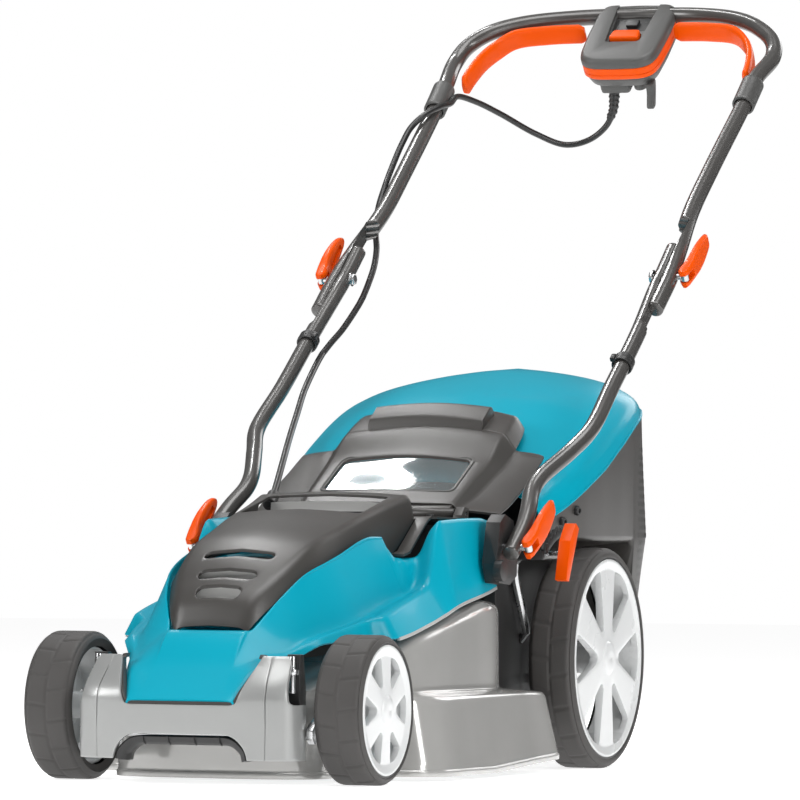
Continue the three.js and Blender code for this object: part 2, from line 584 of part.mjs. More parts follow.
// Grey sleeves over the loop, in which the start bars hinge, and clips that hold the cable to the tubes.
function sleeve(points, inner, outer) {
  const [start, end] = [points[0], points[points.length - 1]].map((p) => new THREE.Vector3(...p));
  const beyond = end.clone().sub(start).setLength(20);
  const longer = [start.clone().sub(beyond).toArray(), ...points, end.clone().add(beyond).toArray()];
  return cut(tube(points, outer, 2, 10), tube(longer, inner, 3, 10));
}
addPair("loop_collar", sleeve([[202.9, 1143, 797.2], [203.3, 1161, 812.3], [203.8, 1178, 827]], UPPER_TUBE + 1.3, 14),
  "darkGrey");
const tubeClip = (from, to) => sleeve([from, to], LOWER_TUBE + 1.2, 12.8);
add("tube_clip_right", tubeClip([206.1, 699, 464.8], [206.1, 710, 472.8]), "black");
add("tube_clip_left", tubeClip([-206.1, 738, 493], [-206.1, 749, 501]), "black");

// ---------- Switch console, start bars and button ----------

const onConsole = (made) => made.rotate([THREE.MathUtils.radToDeg(CONSOLE.slope), 0, 0])
  .translate([0, CONSOLE.y, CONSOLE.z]);
const crossbar = tube([[-144, 1292, 916], [-80, 1324, 925], [0, 1335, 927], [80, 1324, 925], [144, 1292, 916]],
  UPPER_TUBE + 1, 8, 8);

function consoleLayer(levels) {
  const half = [[0, -8], [32, -7], [46, 1], [51, 16], [53, 60], [52, 112], [44, 124], [0, 126]];
  const ring = ([height, inset]) => mirrored(beside(half, -inset).map(([x, u], i) => [i % 7 ? x : 0, u, height]));
  return loft(levels.map(ring));
}

function consoleTop() {
  const recess = box([-22, 22], [66, 97], [-2, 30]);
  const well = box([-20.4, 20.4], [42.6, 61.4], [-5, 30]);
  return cut(onConsole(cut(consoleLayer([[-6, 0], [1, 0], [7, 5]]), recess, well)), crossbar);
}

function consoleBase() {
  const shell = consoleLayer([[-37, 9], [-23.4, 3]]);
  const socket = box([-30, 8], [4, 34], [-50, -35]);
  const hook = prism("x", [[-2, -34], [14, -34], [-6, -62], [-16, -62]], 34, 43);
  return cut(onConsole(join(shell, socket, hook)), crossbar);
}
add("console_top", consoleTop(), "darkGrey");
add("console_band", cut(onConsole(consoleLayer([[-23, 3], [-21, 0.5], [-6.4, 0.5]])), crossbar), "orange");
add("console_base", consoleBase(), "darkGrey");
add("safety_button", onConsole(box([-20, 20], [43, 61], [0, 9])), "orange");

const handleNormal = new THREE.Vector3(0, -Math.sin(HANDLE_SLOPE), Math.cos(HANDLE_SLOPE));
addPair("start_bar", strap([[186, 1202, 829], [184, 1222, 845], [177, 1248, 866], [165, 1266, 881], [147, 1277, 894],
  [107, 1290, 900], [60, 1300, 902]], handleNormal, 24, 9, 14), "orange");

// ---------- Mains lead, held from the console to the motor cover ----------

const UPPER_RUN = [
  [-16, 1286, 820], [-17, 1286, 806], [-26, 1287, 786], [-50, 1288, 768], [-80, 1283, 762], [-112, 1262, 775],
  [-146, 1228, 798], [-168, 1196, 812], [-183, 1170, 817], [-184.5, 1150, 807], [-190, 1130, 802], [-202, 1109, 791],
  [-214, 1094, 775], [-219, 1076, 754], [-219, 1040, 720], [-216, 1009, 694], [-214, 984, 667], [-208, 962, 638],
  [-198, 940, 616], [-190, 912, 593], [-186, 884, 571], [-184, 862, 554],
];
const LOWER_RUN = [[-184, 861.4, 553.6], [-184, 847, 543], [-185, 800, 513], [-187, 769, 496], [-188, 744, 482]];
const TAIL = [
  [-188, 743.4, 481.7], [-185, 720, 470], [-172, 650, 436], [-156, 590, 408], [-140, 530, 380], [-120, 460, 348],
  [-103, 400, 320], [-92, 360, 304], [-88, 341, 300],
];
add("cable_upper", tube(UPPER_RUN, CABLE, 44, 6), "black");
add("cable_lower", tube(LOWER_RUN, CABLE, 6, 6), "black");
add("cable_tail", tube(TAIL, CABLE, 18, 6), "black");

// ---------- Discharge flap ----------

// The flap by distance along Y: its plateau's middle, edge x and z, foot x and z, then the flange's edge.
const FLAP = [
  // y, middle, plateau x, z, foot x, z, flange x, z
  [452, 304, 92, 303, 98, 297, 149, 292],
  [478, 318, 94, 316, 102, 305, 152, 303],
  [520, 343, 96, 337, 106, 323, 152.5, 322],
  [552, 362, 98, 353, 109, 338, 151.5, 337],
  [594, 391, 98, 382, 112, 360, 149.5, 359],
  [601, 395, 98, 385, 113, 365, 132, 363],
];
const FLAP_HEAD = [
  [601.5, 395, 98, 385, 112.5, 366],
  [630, 411, 97, 399, 109, 380],
  [650, 419, 95, 406, 105, 390],
  [663, 417, 91, 405, 99, 394],
];
const FLAP_WINDOW = { near: 480, far: 549, half: 80 };

function flapPanel() {
  const skin = (rows, inset) => loft(rows.map(([y, middle, ...edge]) => {
    const line = [[0, middle]];
    for (let k = 0; k < edge.length; k += 2) line.push([edge[k], edge[k + 1]]);
    const under = beside(line, inset);
    under[0][0] = 0;
    return mirrored([...line, ...under.reverse()].map(([x, z]) => [x, y, z]));
  }));
  const grip = prism("x", [[596, 391], [612, 398], [640, 415], [630, 421], [606, 408]], -70, 70);
  const underLip = [[FLAP_PIN.y, 297], [FLAP_PIN.y - 4, 293], [FLAP_PIN.y + 3, 284], [455, 292], [455, 303]];
  const lip = prism("x", underLip, -92, 92);
  const barrel = rodX([-100, 100], FLAP_PIN.y, FLAP_PIN.z, 6.5, 14);
  const notches = [-114, -38, 28, 104].map((x) => box([x - 1, x + 11], [428, 450.5], [280, 302]));
  const window = box([-FLAP_WINDOW.half, FLAP_WINDOW.half], [FLAP_WINDOW.near, FLAP_WINDOW.far], [300, 380]);
  const bore = rodX([-130, 130], FLAP_PIN.y, FLAP_PIN.z, FLAP_PIN.radius + GAP, 8);
  const head = skin([FLAP[FLAP.length - 1].slice(0, 6), ...FLAP_HEAD.slice(1)], 3);
  return cut(join(skin(FLAP, 3), head, grip, lip, barrel), window, bore, ...notches);
}
add("flap_panel", flapPanel(), "darkGrey");
add("flap_pin", rodX([-113, 113], FLAP_PIN.y, FLAP_PIN.z, FLAP_PIN.radius, 8), "steel");

function flapWindow() {
  const row = between(FLAP);
  const [near, far, half] = [FLAP_WINDOW.near + 0.5, FLAP_WINDOW.far - 0.5, FLAP_WINDOW.half - 0.5];
  return loft([near, (near + far) / 2, far].map((y) => {
    const [, middle, edgeX, edgeZ] = row(y);
    const edge = middle + ((edgeZ - middle) * half) / edgeX;
    return mirrored([[0, y, middle], [half, y, edge], [half, y, edge - 2.4], [0, y, middle - 2.4]]);
  }));
}
add("flap_window", flapWindow(), "clear");

// ---------- Grass collector ----------

// The collector's rim, where the cyan hood meets the grey tub: y, half width, height, hood's middle height.
const HOOD = [
  // y, rim x, z, haunch x, z, shoulder x, z, middle
  [556, 160, 281, 156, 300, 108, 322, 330],
  [600, 176, 302, 172, 326, 112, 350, 366],
  [650, 186, 327, 182, 350, 112, 378, 398],
  [700, 189, 349, 184, 374, 118, 402, 420],
  [745, 189, 371, 184, 394, 120, 422, 437],
  [820, 184, 403, 178, 422, 118, 444, 456],
  [880, 166, 418, 158, 433, 106, 454, 467],
  [913, 140, 421, 132, 436, 92, 456, 469],
  [938, 98, 423, 91, 435, 66, 449, 459],
  [951, 54, 425, 50, 432, 36, 438, 442],
];
const TUB = [
  // y, floor, floor x, wall x, wall z, ledge x, ledge z
  [556, 122, 112, 118, 255, 158, 262],
  [600, 122, 112, 118, 255, 172, 262],
  [650, 123, 112, 118, 255, 183, 262],
  [700, 124, 112, 118, 255, 186, 262],
  [745, 125, 112, 118, 255, 187, 262],
  [798, 126, 112, 118, 255, 186, 262],
  [804, 126, 160, 180, 170, 186, 262],
  [820, 126, 160, 179, 170, 184, 262],
  [880, 128, 138, 160, 172, 174, 270],
  [913, 132, 112, 136, 174, 150, 274],
  [938, 142, 76, 98, 180, 110, 276],
  [951, 168, 40, 56, 196, 62, 276],
];

const MOUTH = 8; // how far the cut that hollows the collector runs out in front

function hollowed(rows, ring, thickness) {
  const last = rows.length - 1;
  const inner = rows.map(([y, ...rest], k) => [y - (k ? 0 : MOUTH) - (k === last ? thickness : 0), ...rest]);
  return cut(loft(rows.map((row) => ring(row, 0))), loft(inner.map((row) => ring(row, thickness))));
}

function hood() {
  const ring = ([y, rimX, rimZ, haunchX, haunchZ, shoulderX, shoulderZ, middle], inset) => {
    const line = beside([[0, middle], [shoulderX, shoulderZ], [haunchX, haunchZ], [rimX, rimZ]], inset);
    const low = rimZ - (inset ? 8 : 0);
    return mirrored([[0, line[0][1]], line[1], line[2], [line[3][0], low], [0, low]].map(([x, z]) => [x, y, z]));
  };
  return hollowed(HOOD, ring, 2.6);
}
add("collector_hood", hood(), "cyan");

function tub() {
  const rim = between(HOOD);
  const ring = ([y, floor, floorX, wallX, wallZ, ledgeX, ledgeZ], inset) => {
    const [, rimX, rimZ] = rim(y);
    const line = beside([[rimX, rimZ - GAP], [ledgeX, ledgeZ], [wallX, wallZ], [floorX, floor], [0, floor]], inset);
    const high = rimZ - GAP + (inset ? 10 : 0);
    const half = [[0, high], [line[0][0], high], line[1], line[2], line[3], [0, line[4][1]]];
    return mirrored(half.map(([x, z]) => [x, y, z]));
  };
  return hollowed(TUB, ring, 2.6);
}
add("collector_tub", tub(), "darkGrey");

// ---------- Placing ----------

const bounds = new THREE.Box3().setFromObject(mower);
mower.position.y = -(bounds.min.y + bounds.max.y) / 2;

export default mower;
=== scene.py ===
"""The looks of the rotary lawn mower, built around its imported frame. Lengths in the tables are in millimetres,
in the mower's own frame: Y from the front wheels' axis, Z from the floor. place() turns them into metres in the
row frame."""

import json
import math

import bmesh
import bpy
import numpy as np
from mathutils import Matrix, Vector

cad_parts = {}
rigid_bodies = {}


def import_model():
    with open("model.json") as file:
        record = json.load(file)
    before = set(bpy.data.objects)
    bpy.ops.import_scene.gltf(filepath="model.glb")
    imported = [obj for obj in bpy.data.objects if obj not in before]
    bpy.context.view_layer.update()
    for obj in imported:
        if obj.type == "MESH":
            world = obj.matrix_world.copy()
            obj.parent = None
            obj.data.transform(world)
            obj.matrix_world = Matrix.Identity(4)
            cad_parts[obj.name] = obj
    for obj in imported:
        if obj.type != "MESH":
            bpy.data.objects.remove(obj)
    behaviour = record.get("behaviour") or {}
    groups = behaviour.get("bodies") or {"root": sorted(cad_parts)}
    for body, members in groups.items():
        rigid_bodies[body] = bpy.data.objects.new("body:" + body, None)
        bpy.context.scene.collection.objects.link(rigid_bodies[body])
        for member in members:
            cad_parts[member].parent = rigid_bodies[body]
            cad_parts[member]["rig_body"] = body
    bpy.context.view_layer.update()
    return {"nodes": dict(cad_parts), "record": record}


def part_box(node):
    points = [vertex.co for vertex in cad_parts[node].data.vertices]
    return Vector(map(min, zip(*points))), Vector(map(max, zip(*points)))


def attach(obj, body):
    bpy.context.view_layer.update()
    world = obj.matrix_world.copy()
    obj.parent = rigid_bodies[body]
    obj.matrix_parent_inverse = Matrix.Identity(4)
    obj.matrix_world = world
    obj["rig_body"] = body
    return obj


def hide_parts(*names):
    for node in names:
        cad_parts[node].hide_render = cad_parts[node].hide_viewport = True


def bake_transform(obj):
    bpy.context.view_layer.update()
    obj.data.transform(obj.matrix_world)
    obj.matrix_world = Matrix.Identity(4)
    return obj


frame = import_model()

wheel_low, wheel_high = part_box("front_tyre_right")
FRONT_AXLE_Y = (wheel_low.y + wheel_high.y) / 2
SCENE = bpy.context.scene
SIDES = ((1, "right"), (-1, "left"))
MIRROR = np.array([-1, 1, 1])


def place(points):
    moved = np.array(points, float) / 1000
    moved[..., 1] += FRONT_AXLE_Y
    return moved


def add_to_scene(name, data):
    made = bpy.data.objects.new(name, data)
    SCENE.collection.objects.link(made)
    return made


# ---------- Camera and light ----------

LENS = 294.33
CAMERA_AT = place([2758.12, -6458.05, 257.91])
CAMERA_RIGHT = (0.9300439, 0.3673429, 0.0088092)
CAMERA_DOWN = (0.0001618, 0.0235645, -0.9997223)
CAMERA_FORWARD = (-0.3674485, 0.9297870, 0.0218566)
LIT_POINT = Vector((0, 0, 0.35))


def make_camera():
    data = bpy.data.cameras.new("camera")
    data.lens = LENS
    data.sensor_width = 36
    data.clip_start = 0.1
    data.clip_end = 100
    camera = add_to_scene("camera", data)
    turn = Matrix([CAMERA_RIGHT, [-v for v in CAMERA_DOWN], [-v for v in CAMERA_FORWARD]]).transposed()
    camera.matrix_world = Matrix.Translation(Vector(CAMERA_AT)) @ turn.to_4x4()
    SCENE.camera = camera


def soft_box(name, at, size, power):
    data = bpy.data.lights.new(name, "AREA")
    data.shape = "RECTANGLE"
    data.size, data.size_y = size
    data.energy = power
    lamp = add_to_scene(name, data)
    lamp.location = at
    lamp.rotation_euler = (LIT_POINT - Vector(at)).to_track_quat("-Z", "Y").to_euler()


def add_nodes(tree, *kinds):
    return [tree.nodes.new("ShaderNode" + kind) for kind in kinds]


def two_stops(ramp, first, second):
    for stop, (at, color) in zip(ramp.color_ramp.elements, (first, second)):
        stop.position = at
        stop.color = (*color, 1)


def make_world():
    """Grey light that grows towards the top, with plain white behind the mower."""
    SCENE.world = world = bpy.data.worlds.new("studio")
    world.use_nodes = True
    tree = world.node_tree
    tree.nodes.clear()
    where, split, ramp, studio, white, path, mix, out = add_nodes(
        tree, "TexCoord", "SeparateXYZ", "ValToRGB", "Background", "Background", "LightPath", "MixShader",
        "OutputWorld")
    two_stops(ramp, (0, (0.16, 0.16, 0.165)), (0.75, (1, 1, 1)))
    studio.inputs["Strength"].default_value = 0.3
    white.inputs["Color"].default_value = (1, 1, 1, 1)
    for start, end in (
        (where.outputs["Generated"], split.inputs[0]), (split.outputs["Z"], ramp.inputs["Fac"]),
        (ramp.outputs["Color"], studio.inputs["Color"]), (path.outputs["Is Camera Ray"], mix.inputs["Fac"]),
        (studio.outputs[0], mix.inputs[1]), (white.outputs[0], mix.inputs[2]),
        (mix.outputs[0], out.inputs["Surface"]),
    ):
        tree.links.new(start, end)


# ---------- Materials ----------


def material(name, color, rough, tint=0.06, tint_scale=9, grain=900, bump=0.05, rough_spread=0.05, **sockets):
    """A surface with slow drifts of tint and gloss and a fine moulded or cast grain."""
    made = bpy.data.materials.new(name)
    made.use_nodes = True
    tree = made.node_tree
    shader = tree.nodes["Principled BSDF"]
    where, cloud, ramp, fine, gloss, relief = add_nodes(
        tree, "TexCoord", "TexNoise", "ValToRGB", "TexNoise", "MapRange", "Bump")
    two_stops(ramp, (0.3, [max(v * (1 - tint), 0) for v in color]),
              (0.7, [min(v * (1 + tint) + tint * 0.01, 1) for v in color]))
    for node, values in (
        (cloud, {"Scale": tint_scale, "Detail": 5}), (fine, {"Scale": grain, "Detail": 3}),
        (gloss, {"To Min": max(rough - rough_spread, 0.02), "To Max": rough + rough_spread}),
        (relief, {"Strength": bump, "Distance": 0.001}),
        (shader, {socket.replace("_", " "): value for socket, value in sockets.items()}),
    ):
        for socket, value in values.items():
            node.inputs[socket].default_value = value
    for start, end in (
        (where.outputs["Object"], cloud.inputs["Vector"]), (where.outputs["Object"], fine.inputs["Vector"]),
        (cloud.outputs["Fac"], ramp.inputs["Fac"]), (ramp.outputs["Color"], shader.inputs["Base Color"]),
        (cloud.outputs["Fac"], gloss.inputs["Value"]), (gloss.outputs[0], shader.inputs["Roughness"]),
        (fine.outputs["Fac"], relief.inputs["Height"]), (relief.outputs[0], shader.inputs["Normal"]),
    ):
        tree.links.new(start, end)
    return made


LOOK = {
    "cyan_cover": material("cyan_gloss", (0.0, 0.315, 0.43), 0.3, tint=0.02, bump=0.008,
                           Specular_IOR_Level=0.12, Coat_Weight=0.1, Coat_Roughness=0.06),
    "deck_grey": material("deck_gloss", (0.46, 0.455, 0.44), 0.2, tint=0.04, bump=0.008, Metallic=0.35,
                          Coat_Weight=0.5, Coat_Roughness=0.05),
    "bumper_silver": material("bumper_paint", (0.33, 0.335, 0.33), 0.34, grain=2600, Metallic=0.35,
                              Coat_Weight=0.3, Coat_Roughness=0.15),
    "dark_grey_cover": material("grained_grey", (0.044, 0.041, 0.038), 0.36, grain=1500, bump=0.10),
    "console_grey": material("console_grey", (0.06, 0.06, 0.058), 0.42, grain=1700, bump=0.08),
    "black_plastic": material("grained_black", (0.016, 0.016, 0.016), 0.42, grain=1300, bump=0.09),
    "orange_plastic": material("orange_gloss", (0.74, 0.075, 0.0), 0.36, tint=0.02, bump=0.008,
                               Specular_IOR_Level=0.1, Coat_Weight=0.08, Coat_Roughness=0.1),
    "tread": material("tyre_tread", (0.048, 0.045, 0.043), 0.62, tint=0.14, grain=700, bump=0.18),
    "ring_black": material("tyre_ring", (0.01, 0.01, 0.01), 0.3, bump=0.03),
    "white_rim": material("rim_white", (0.64, 0.65, 0.65), 0.28, tint=0.02, bump=0.01, Coat_Weight=0.4,
                          Coat_Roughness=0.08),
    "steel": material("bright_steel", (0.55, 0.555, 0.56), 0.26, tint=0.08, tint_scale=60, bump=0.03,
                      Metallic=1.0),
    "coated_tube": material("tube_coat", (0.06, 0.057, 0.054), 0.3, bump=0.004, Metallic=0.2,
                            Coat_Weight=0.5, Coat_Roughness=0.12),
    "lead_rubber": material("lead_sheath", (0.012, 0.012, 0.012), 0.34, bump=0.06),
    # Light grey of the trims; under the cowl's slots the same grey is a painted reflection.
    "trim_grey_and_slot_reflection": material("trim_grey_and_slot_reflection", (0.42, 0.42, 0.41), 0.3, bump=0.02, Coat_Weight=0.3),
    "clear_window": material("window_clear", (0.72, 0.80, 0.82), 0.05, tint=0.01, bump=0.0, rough_spread=0.02,
                             Transmission_Weight=0.92, IOR=1.49, Coat_Weight=0.5),
}
CAD_SLOT = {row["node"]: row["material_slot"] for row in frame["record"]["subparts"]}

# ---------- Curves ----------


def around(count):
    """Angles at equal steps round a circle."""
    return np.linspace(0, 2 * np.pi, count, endpoint=False)


def headings(line):
    """The direction of a line at each of its points."""
    ahead = np.gradient(line, axis=0)
    return ahead / np.linalg.norm(ahead, axis=1, keepdims=True)


def smooth(at, xs, ys):
    """A curve through points that never overshoots them (Fritsch-Carlson), read at the given places."""
    at, xs, ys = (np.asarray(v, float) for v in (at, xs, ys))
    step = np.diff(xs)
    slope = np.diff(ys) / step
    tangent = np.concatenate([slope[:1], np.zeros(len(xs) - 2), slope[-1:]])
    for k in range(1, len(xs) - 1):
        if slope[k - 1] * slope[k] > 0:
            a, b = 2 * step[k] + step[k - 1], step[k] + 2 * step[k - 1]
            tangent[k] = (a + b) / (a / slope[k - 1] + b / slope[k])
    k = np.clip(np.searchsorted(xs, at, side="right") - 1, 0, len(step) - 1)
    t = (at - xs[k]) / step[k]
    return (
        ys[k] * (1 + 2 * t) * (1 - t) ** 2
        + tangent[k] * step[k] * t * (1 - t) ** 2
        + ys[k + 1] * t * t * (3 - 2 * t)
        + tangent[k + 1] * step[k] * t * t * (t - 1)
    )


def finer(places, each):
    """Each gap between places cut into equal parts no longer than a length."""
    out = []
    for a, b in zip(places, places[1:]):
        out.extend(np.linspace(a, b, max(2, math.ceil((b - a) / each) + 1))[:-1])
    return np.array([*out, places[-1]])


def table_columns(table, places=None, each=6):
    """Columns of points from a table whose rows are (y, middle height, x, z, x, z, ...), read at more places."""
    table = np.array(table, float)
    places = finer(table[:, 0], each) if places is None else places
    middle, *rest = [smooth(places, table[:, 0], values) for values in table.T[1:]]
    pairs = [(np.zeros(len(places)), middle), *zip(rest[::2], rest[1::2])]
    return [np.column_stack([x, places, z]) for x, z in pairs]


def rounded(lines, reach, count=5):
    """Lines side by side, each inner one replaced by a rounded corner that reaches some way to its neighbours."""
    lines = [np.asarray(line, float) for line in lines]
    out = [lines[0]]
    for k in range(1, len(lines) - 1):
        far = reach[k - 1] if isinstance(reach, (list, tuple)) else reach
        ends = []
        for other in (lines[k - 1], lines[k + 1]):
            away = other - lines[k]
            length = np.maximum(np.linalg.norm(away, axis=-1, keepdims=True), 1e-9)
            ends.append(lines[k] + away * np.minimum(far / length, 0.47))
        for t in np.linspace(0, 1, count):
            out.append((1 - t) ** 2 * ends[0] + 2 * t * (1 - t) * lines[k] + t * t * ends[1])
    return [*out, lines[-1]]


def rounded_path(points, reach, count):
    """An open path in a plane, with round corners."""
    return np.array(rounded([np.array([p], float) for p in points], reach, count)).reshape(-1, 2)


def rounded_outline(points, radius, count=6):
    """A closed outline with round corners."""
    points = [np.array(p, float) for p in points]
    out = []
    for before, here, after in zip([points[-1], *points], points, [*points[1:], points[0]]):
        ends = [here + (other - here) * min(radius / np.linalg.norm(other - here), 0.48)
                for other in (before, after)]
        for t in np.linspace(0, 1, count):
            out.append(tuple((1 - t) ** 2 * ends[0] + 2 * t * (1 - t) * here + t * t * ends[1]))
    return out


def path_through(points, count):
    """Points at equal steps along a centripetal Catmull-Rom curve."""
    points = np.array(points, float)
    points = np.vstack([2 * points[0] - points[1], points, 2 * points[-1] - points[-2]])
    out = []
    for p0, p1, p2, p3 in zip(points, points[1:], points[2:], points[3:]):
        t0 = 0
        t1 = t0 + np.linalg.norm(p1 - p0) ** 0.5
        t2 = t1 + np.linalg.norm(p2 - p1) ** 0.5
        t3 = t2 + np.linalg.norm(p3 - p2) ** 0.5
        for t in np.linspace(t1, t2, 24, endpoint=False):
            a1 = (t1 - t) / (t1 - t0) * p0 + (t - t0) / (t1 - t0) * p1
            a2 = (t2 - t) / (t2 - t1) * p1 + (t - t1) / (t2 - t1) * p2
            a3 = (t3 - t) / (t3 - t2) * p2 + (t - t2) / (t3 - t2) * p3
            b1 = (t2 - t) / (t2 - t0) * a1 + (t - t0) / (t2 - t0) * a2
            b2 = (t3 - t) / (t3 - t1) * a2 + (t - t1) / (t3 - t1) * a3
            out.append((t2 - t) / (t2 - t1) * b1 + (t - t1) / (t2 - t1) * b2)
    out = np.array([*out, points[-2]])
    far = np.concatenate([[0], np.cumsum(np.linalg.norm(np.diff(out, axis=0), axis=1))])
    at = np.linspace(0, far[-1], count)
    return np.column_stack([np.interp(at, far, out[:, k]) for k in range(3)])


def both_halves(columns):
    """Columns of points from the middle outwards, with the mirrored ones before them."""
    return [*[np.asarray(c) * MIRROR for c in columns[:0:-1]], *[np.asarray(c) for c in columns]]


def both_sides(line):
    """A line of points from the middle outwards, with its mirror image before it."""
    return np.vstack([(line * MIRROR)[:0:-1], line])


# ---------- Meshes ----------


def clean(made, sharp=40):
    """Welds, turns faces outwards and shades smooth up to an angle."""
    work = bmesh.new()
    work.from_mesh(made.data)
    bmesh.ops.remove_doubles(work, verts=work.verts, dist=1e-6)
    bmesh.ops.dissolve_degenerate(work, edges=work.edges, dist=1e-7)
    bmesh.ops.recalc_face_normals(work, faces=work.faces)
    work.to_mesh(made.data)
    work.free()
    for face in made.data.polygons:
        face.use_smooth = True
    made.data.set_sharp_from_angle(angle=math.radians(sharp))


def new_object(name, vertices, faces, look, sharp=40):
    mesh = bpy.data.meshes.new(name)
    mesh.from_pydata([tuple(map(float, v)) for v in vertices], [], [tuple(map(int, f)) for f in faces])
    made = add_to_scene(name, mesh)
    mesh.materials.append(LOOK[look])
    clean(made, sharp)
    return made


def apply_all(made, sharp):
    """Turns an object's modifiers into its mesh."""
    graph = bpy.context.evaluated_depsgraph_get()
    mesh = bpy.data.meshes.new_from_object(made.evaluated_get(graph), depsgraph=graph)
    made.modifiers.clear()
    old, made.data = made.data, mesh
    bpy.data.meshes.remove(old)
    clean(made, sharp)
    return made


def add_bevel(made, width, segments, angle):
    edge = made.modifiers.new("edge", "BEVEL")
    edge.width = width / 1000
    edge.segments = segments
    edge.limit_method = "ANGLE"
    edge.angle_limit = math.radians(angle)
    edge.use_clamp_overlap = True


def bevelled(made, width, segments=3, angle=30, sharp=40):
    add_bevel(made, width, segments, angle)
    return apply_all(made, sharp)


def grid(name, lines, look, thick=0.0, ring=False, caps=False, outward=(0, 0, 1), sharp=40, bevel=0.0):
    """A surface through lines of points, made into a shell of some thickness, or capped where they are rings."""
    lines = np.array(lines, float)
    rows, count = lines.shape[:2]
    faces = []
    for r in range(rows - 1):
        for c in range(count if ring else count - 1):
            d = (c + 1) % count
            faces.append((r * count + c, r * count + d, (r + 1) * count + d, (r + 1) * count + c))
    if caps:
        faces.append(tuple(range(count)))
        faces.append(tuple((rows - 1) * count + c for c in range(count)))
    made = new_object(name, place(lines).reshape(-1, 3), faces, look, sharp)
    if thick:
        facing = sum((face.normal.dot(Vector(outward)) * face.area for face in made.data.polygons), 0.0)
        if facing < 0:
            made.data.flip_normals()
        shell = made.modifiers.new("shell", "SOLIDIFY")
        shell.thickness = thick / 1000
        shell.offset = -1
        shell.use_even_offset = True
    if bevel:
        add_bevel(made, bevel, 2, 50)
    if thick or bevel:
        apply_all(made, sharp)
    return made


def loft(name, rings, look, sharp=40, bevel=0.0):
    """A solid through rings of points."""
    return grid(name, rings, look, ring=True, caps=True, sharp=sharp, bevel=bevel)


def join_all(name, pieces):
    with bpy.context.temp_override(active_object=pieces[0], selected_editable_objects=pieces, object=pieces[0],
                                   selected_objects=pieces):
        bpy.ops.object.join()
    pieces[0].name = name
    return pieces[0]


def carve(made, cutters, sharp=40):
    for k, cutter in enumerate(cutters):
        hole = made.modifiers.new(f"hole_{k}", "BOOLEAN")
        hole.operation = "DIFFERENCE"
        hole.object = cutter
        hole.solver = "EXACT"
    apply_all(made, sharp)
    for cutter in cutters:
        bpy.data.objects.remove(cutter)
    return made


def outline_prism(name, outline, levels, look, axis=2, bevel=0.0, segments=3):
    """An outline carried along an axis, with its edges rounded."""
    rings = [np.insert(np.array(outline, float), axis, level, axis=1) for level in levels]
    made = loft(name, rings, look)
    return bevelled(made, bevel, segments) if bevel else made


def rounded_box(x, y, z, radius, look="black_plastic", axis=2, count=6):
    """A cutter or block whose corners across an axis are round."""
    (a0, a1), (b0, b1) = [span for k, span in enumerate((x, y, z)) if k != axis]
    outline = []
    for ca, cb, start in ((a1 - radius, b1 - radius, 0), (a0 + radius, b1 - radius, 90),
                          (a0 + radius, b0 + radius, 180), (a1 - radius, b0 + radius, 270)):
        for turn in np.radians(np.linspace(start, start + 90, count)):
            outline.append((ca + radius * math.cos(turn), cb + radius * math.sin(turn)))
    return outline_prism("block", outline, (x, y, z)[axis], look, axis=axis)


def turned(name, profile, centre, look, axis="x", sides=96):
    """A profile of (radius, place) points turned about an axis through a centre."""
    turn = around(sides)
    lines = []
    for radius, at in profile:
        a, b, along = centre[0] + radius * np.cos(turn), centre[1] + radius * np.sin(turn), np.full(sides, at)
        lines.append(np.column_stack([along, a, b] if axis == "x" else [a, b, along]))
    return grid(name, lines, look, ring=True)


def sweep(name, points, radius, look, count=120, sides=24, ends=True, shape=None):
    """A round bar along a smooth curve, with chamfered ends; shape may move its points afterwards."""
    line = path_through(points, count)
    ahead = headings(line)
    up = np.cross(ahead[0], [1, 0, 0.01])
    turn = around(sides)
    rings = []
    for here, way in zip(line, ahead):
        up = up - way * up.dot(way)
        up /= np.linalg.norm(up)
        rings.append(here + radius * (np.outer(np.cos(turn), up) + np.outer(np.sin(turn), np.cross(way, up))))
    if ends:
        chamfer = min(radius * 0.18, 1.5)
        first, last = ([line[k] + (rings[k] - line[k]) * (1 - chamfer / radius)] for k in (0, -1))
        rings[0] = rings[0] + ahead[0] * chamfer
        rings[-1] = rings[-1] - ahead[-1] * chamfer
        rings = [*first, *rings, *last]
    if shape:
        rings = [shape(ring) for ring in rings]
    return loft(name, rings, look, sharp=50)


def keep(made, *nodes, body=None, slot=None):
    """Rides a piece on the body of the CAD node that it stands for."""
    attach(made, body or frame["nodes"][nodes[0]]["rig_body"])
    if nodes:
        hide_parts(*nodes)
    slot or CAD_SLOT[nodes[0]]
    return made


def refined(node, width, segments=2):
    """A CAD node's own shape with coplanar facets merged and every edge rounded, standing for that node."""
    made = add_to_scene(node + "_moulded", frame["nodes"][node].data.copy())
    made.data.materials.clear()
    made.data.materials.append(LOOK[CAD_SLOT[node]])
    work = bmesh.new()
    work.from_mesh(made.data)
    bmesh.ops.remove_doubles(work, verts=work.verts, dist=2e-5)
    bmesh.ops.dissolve_limit(work, angle_limit=math.radians(1.5), verts=work.verts, edges=work.edges)
    work.to_mesh(made.data)
    work.free()
    keep(bevelled(made, width, segments, 25, 35), node)


make_camera()
make_world()
soft_box("left_box", (-3.4, -3.4, 2.4), (1.6, 2.4), 105)
soft_box("right_box", (3.6, -2.4, 1.9), (1.2, 2.6), 85)
soft_box("top_box", (0.3, -0.4, 3.6), (2.6, 1.8), 80)
soft_box("rear_box", (0.5, 4.0, 2.2), (2.5, 1.5), 35)
soft_box("window_streak", (-1.12, 1.26, 2.76), (0.09, 1.2), 16)


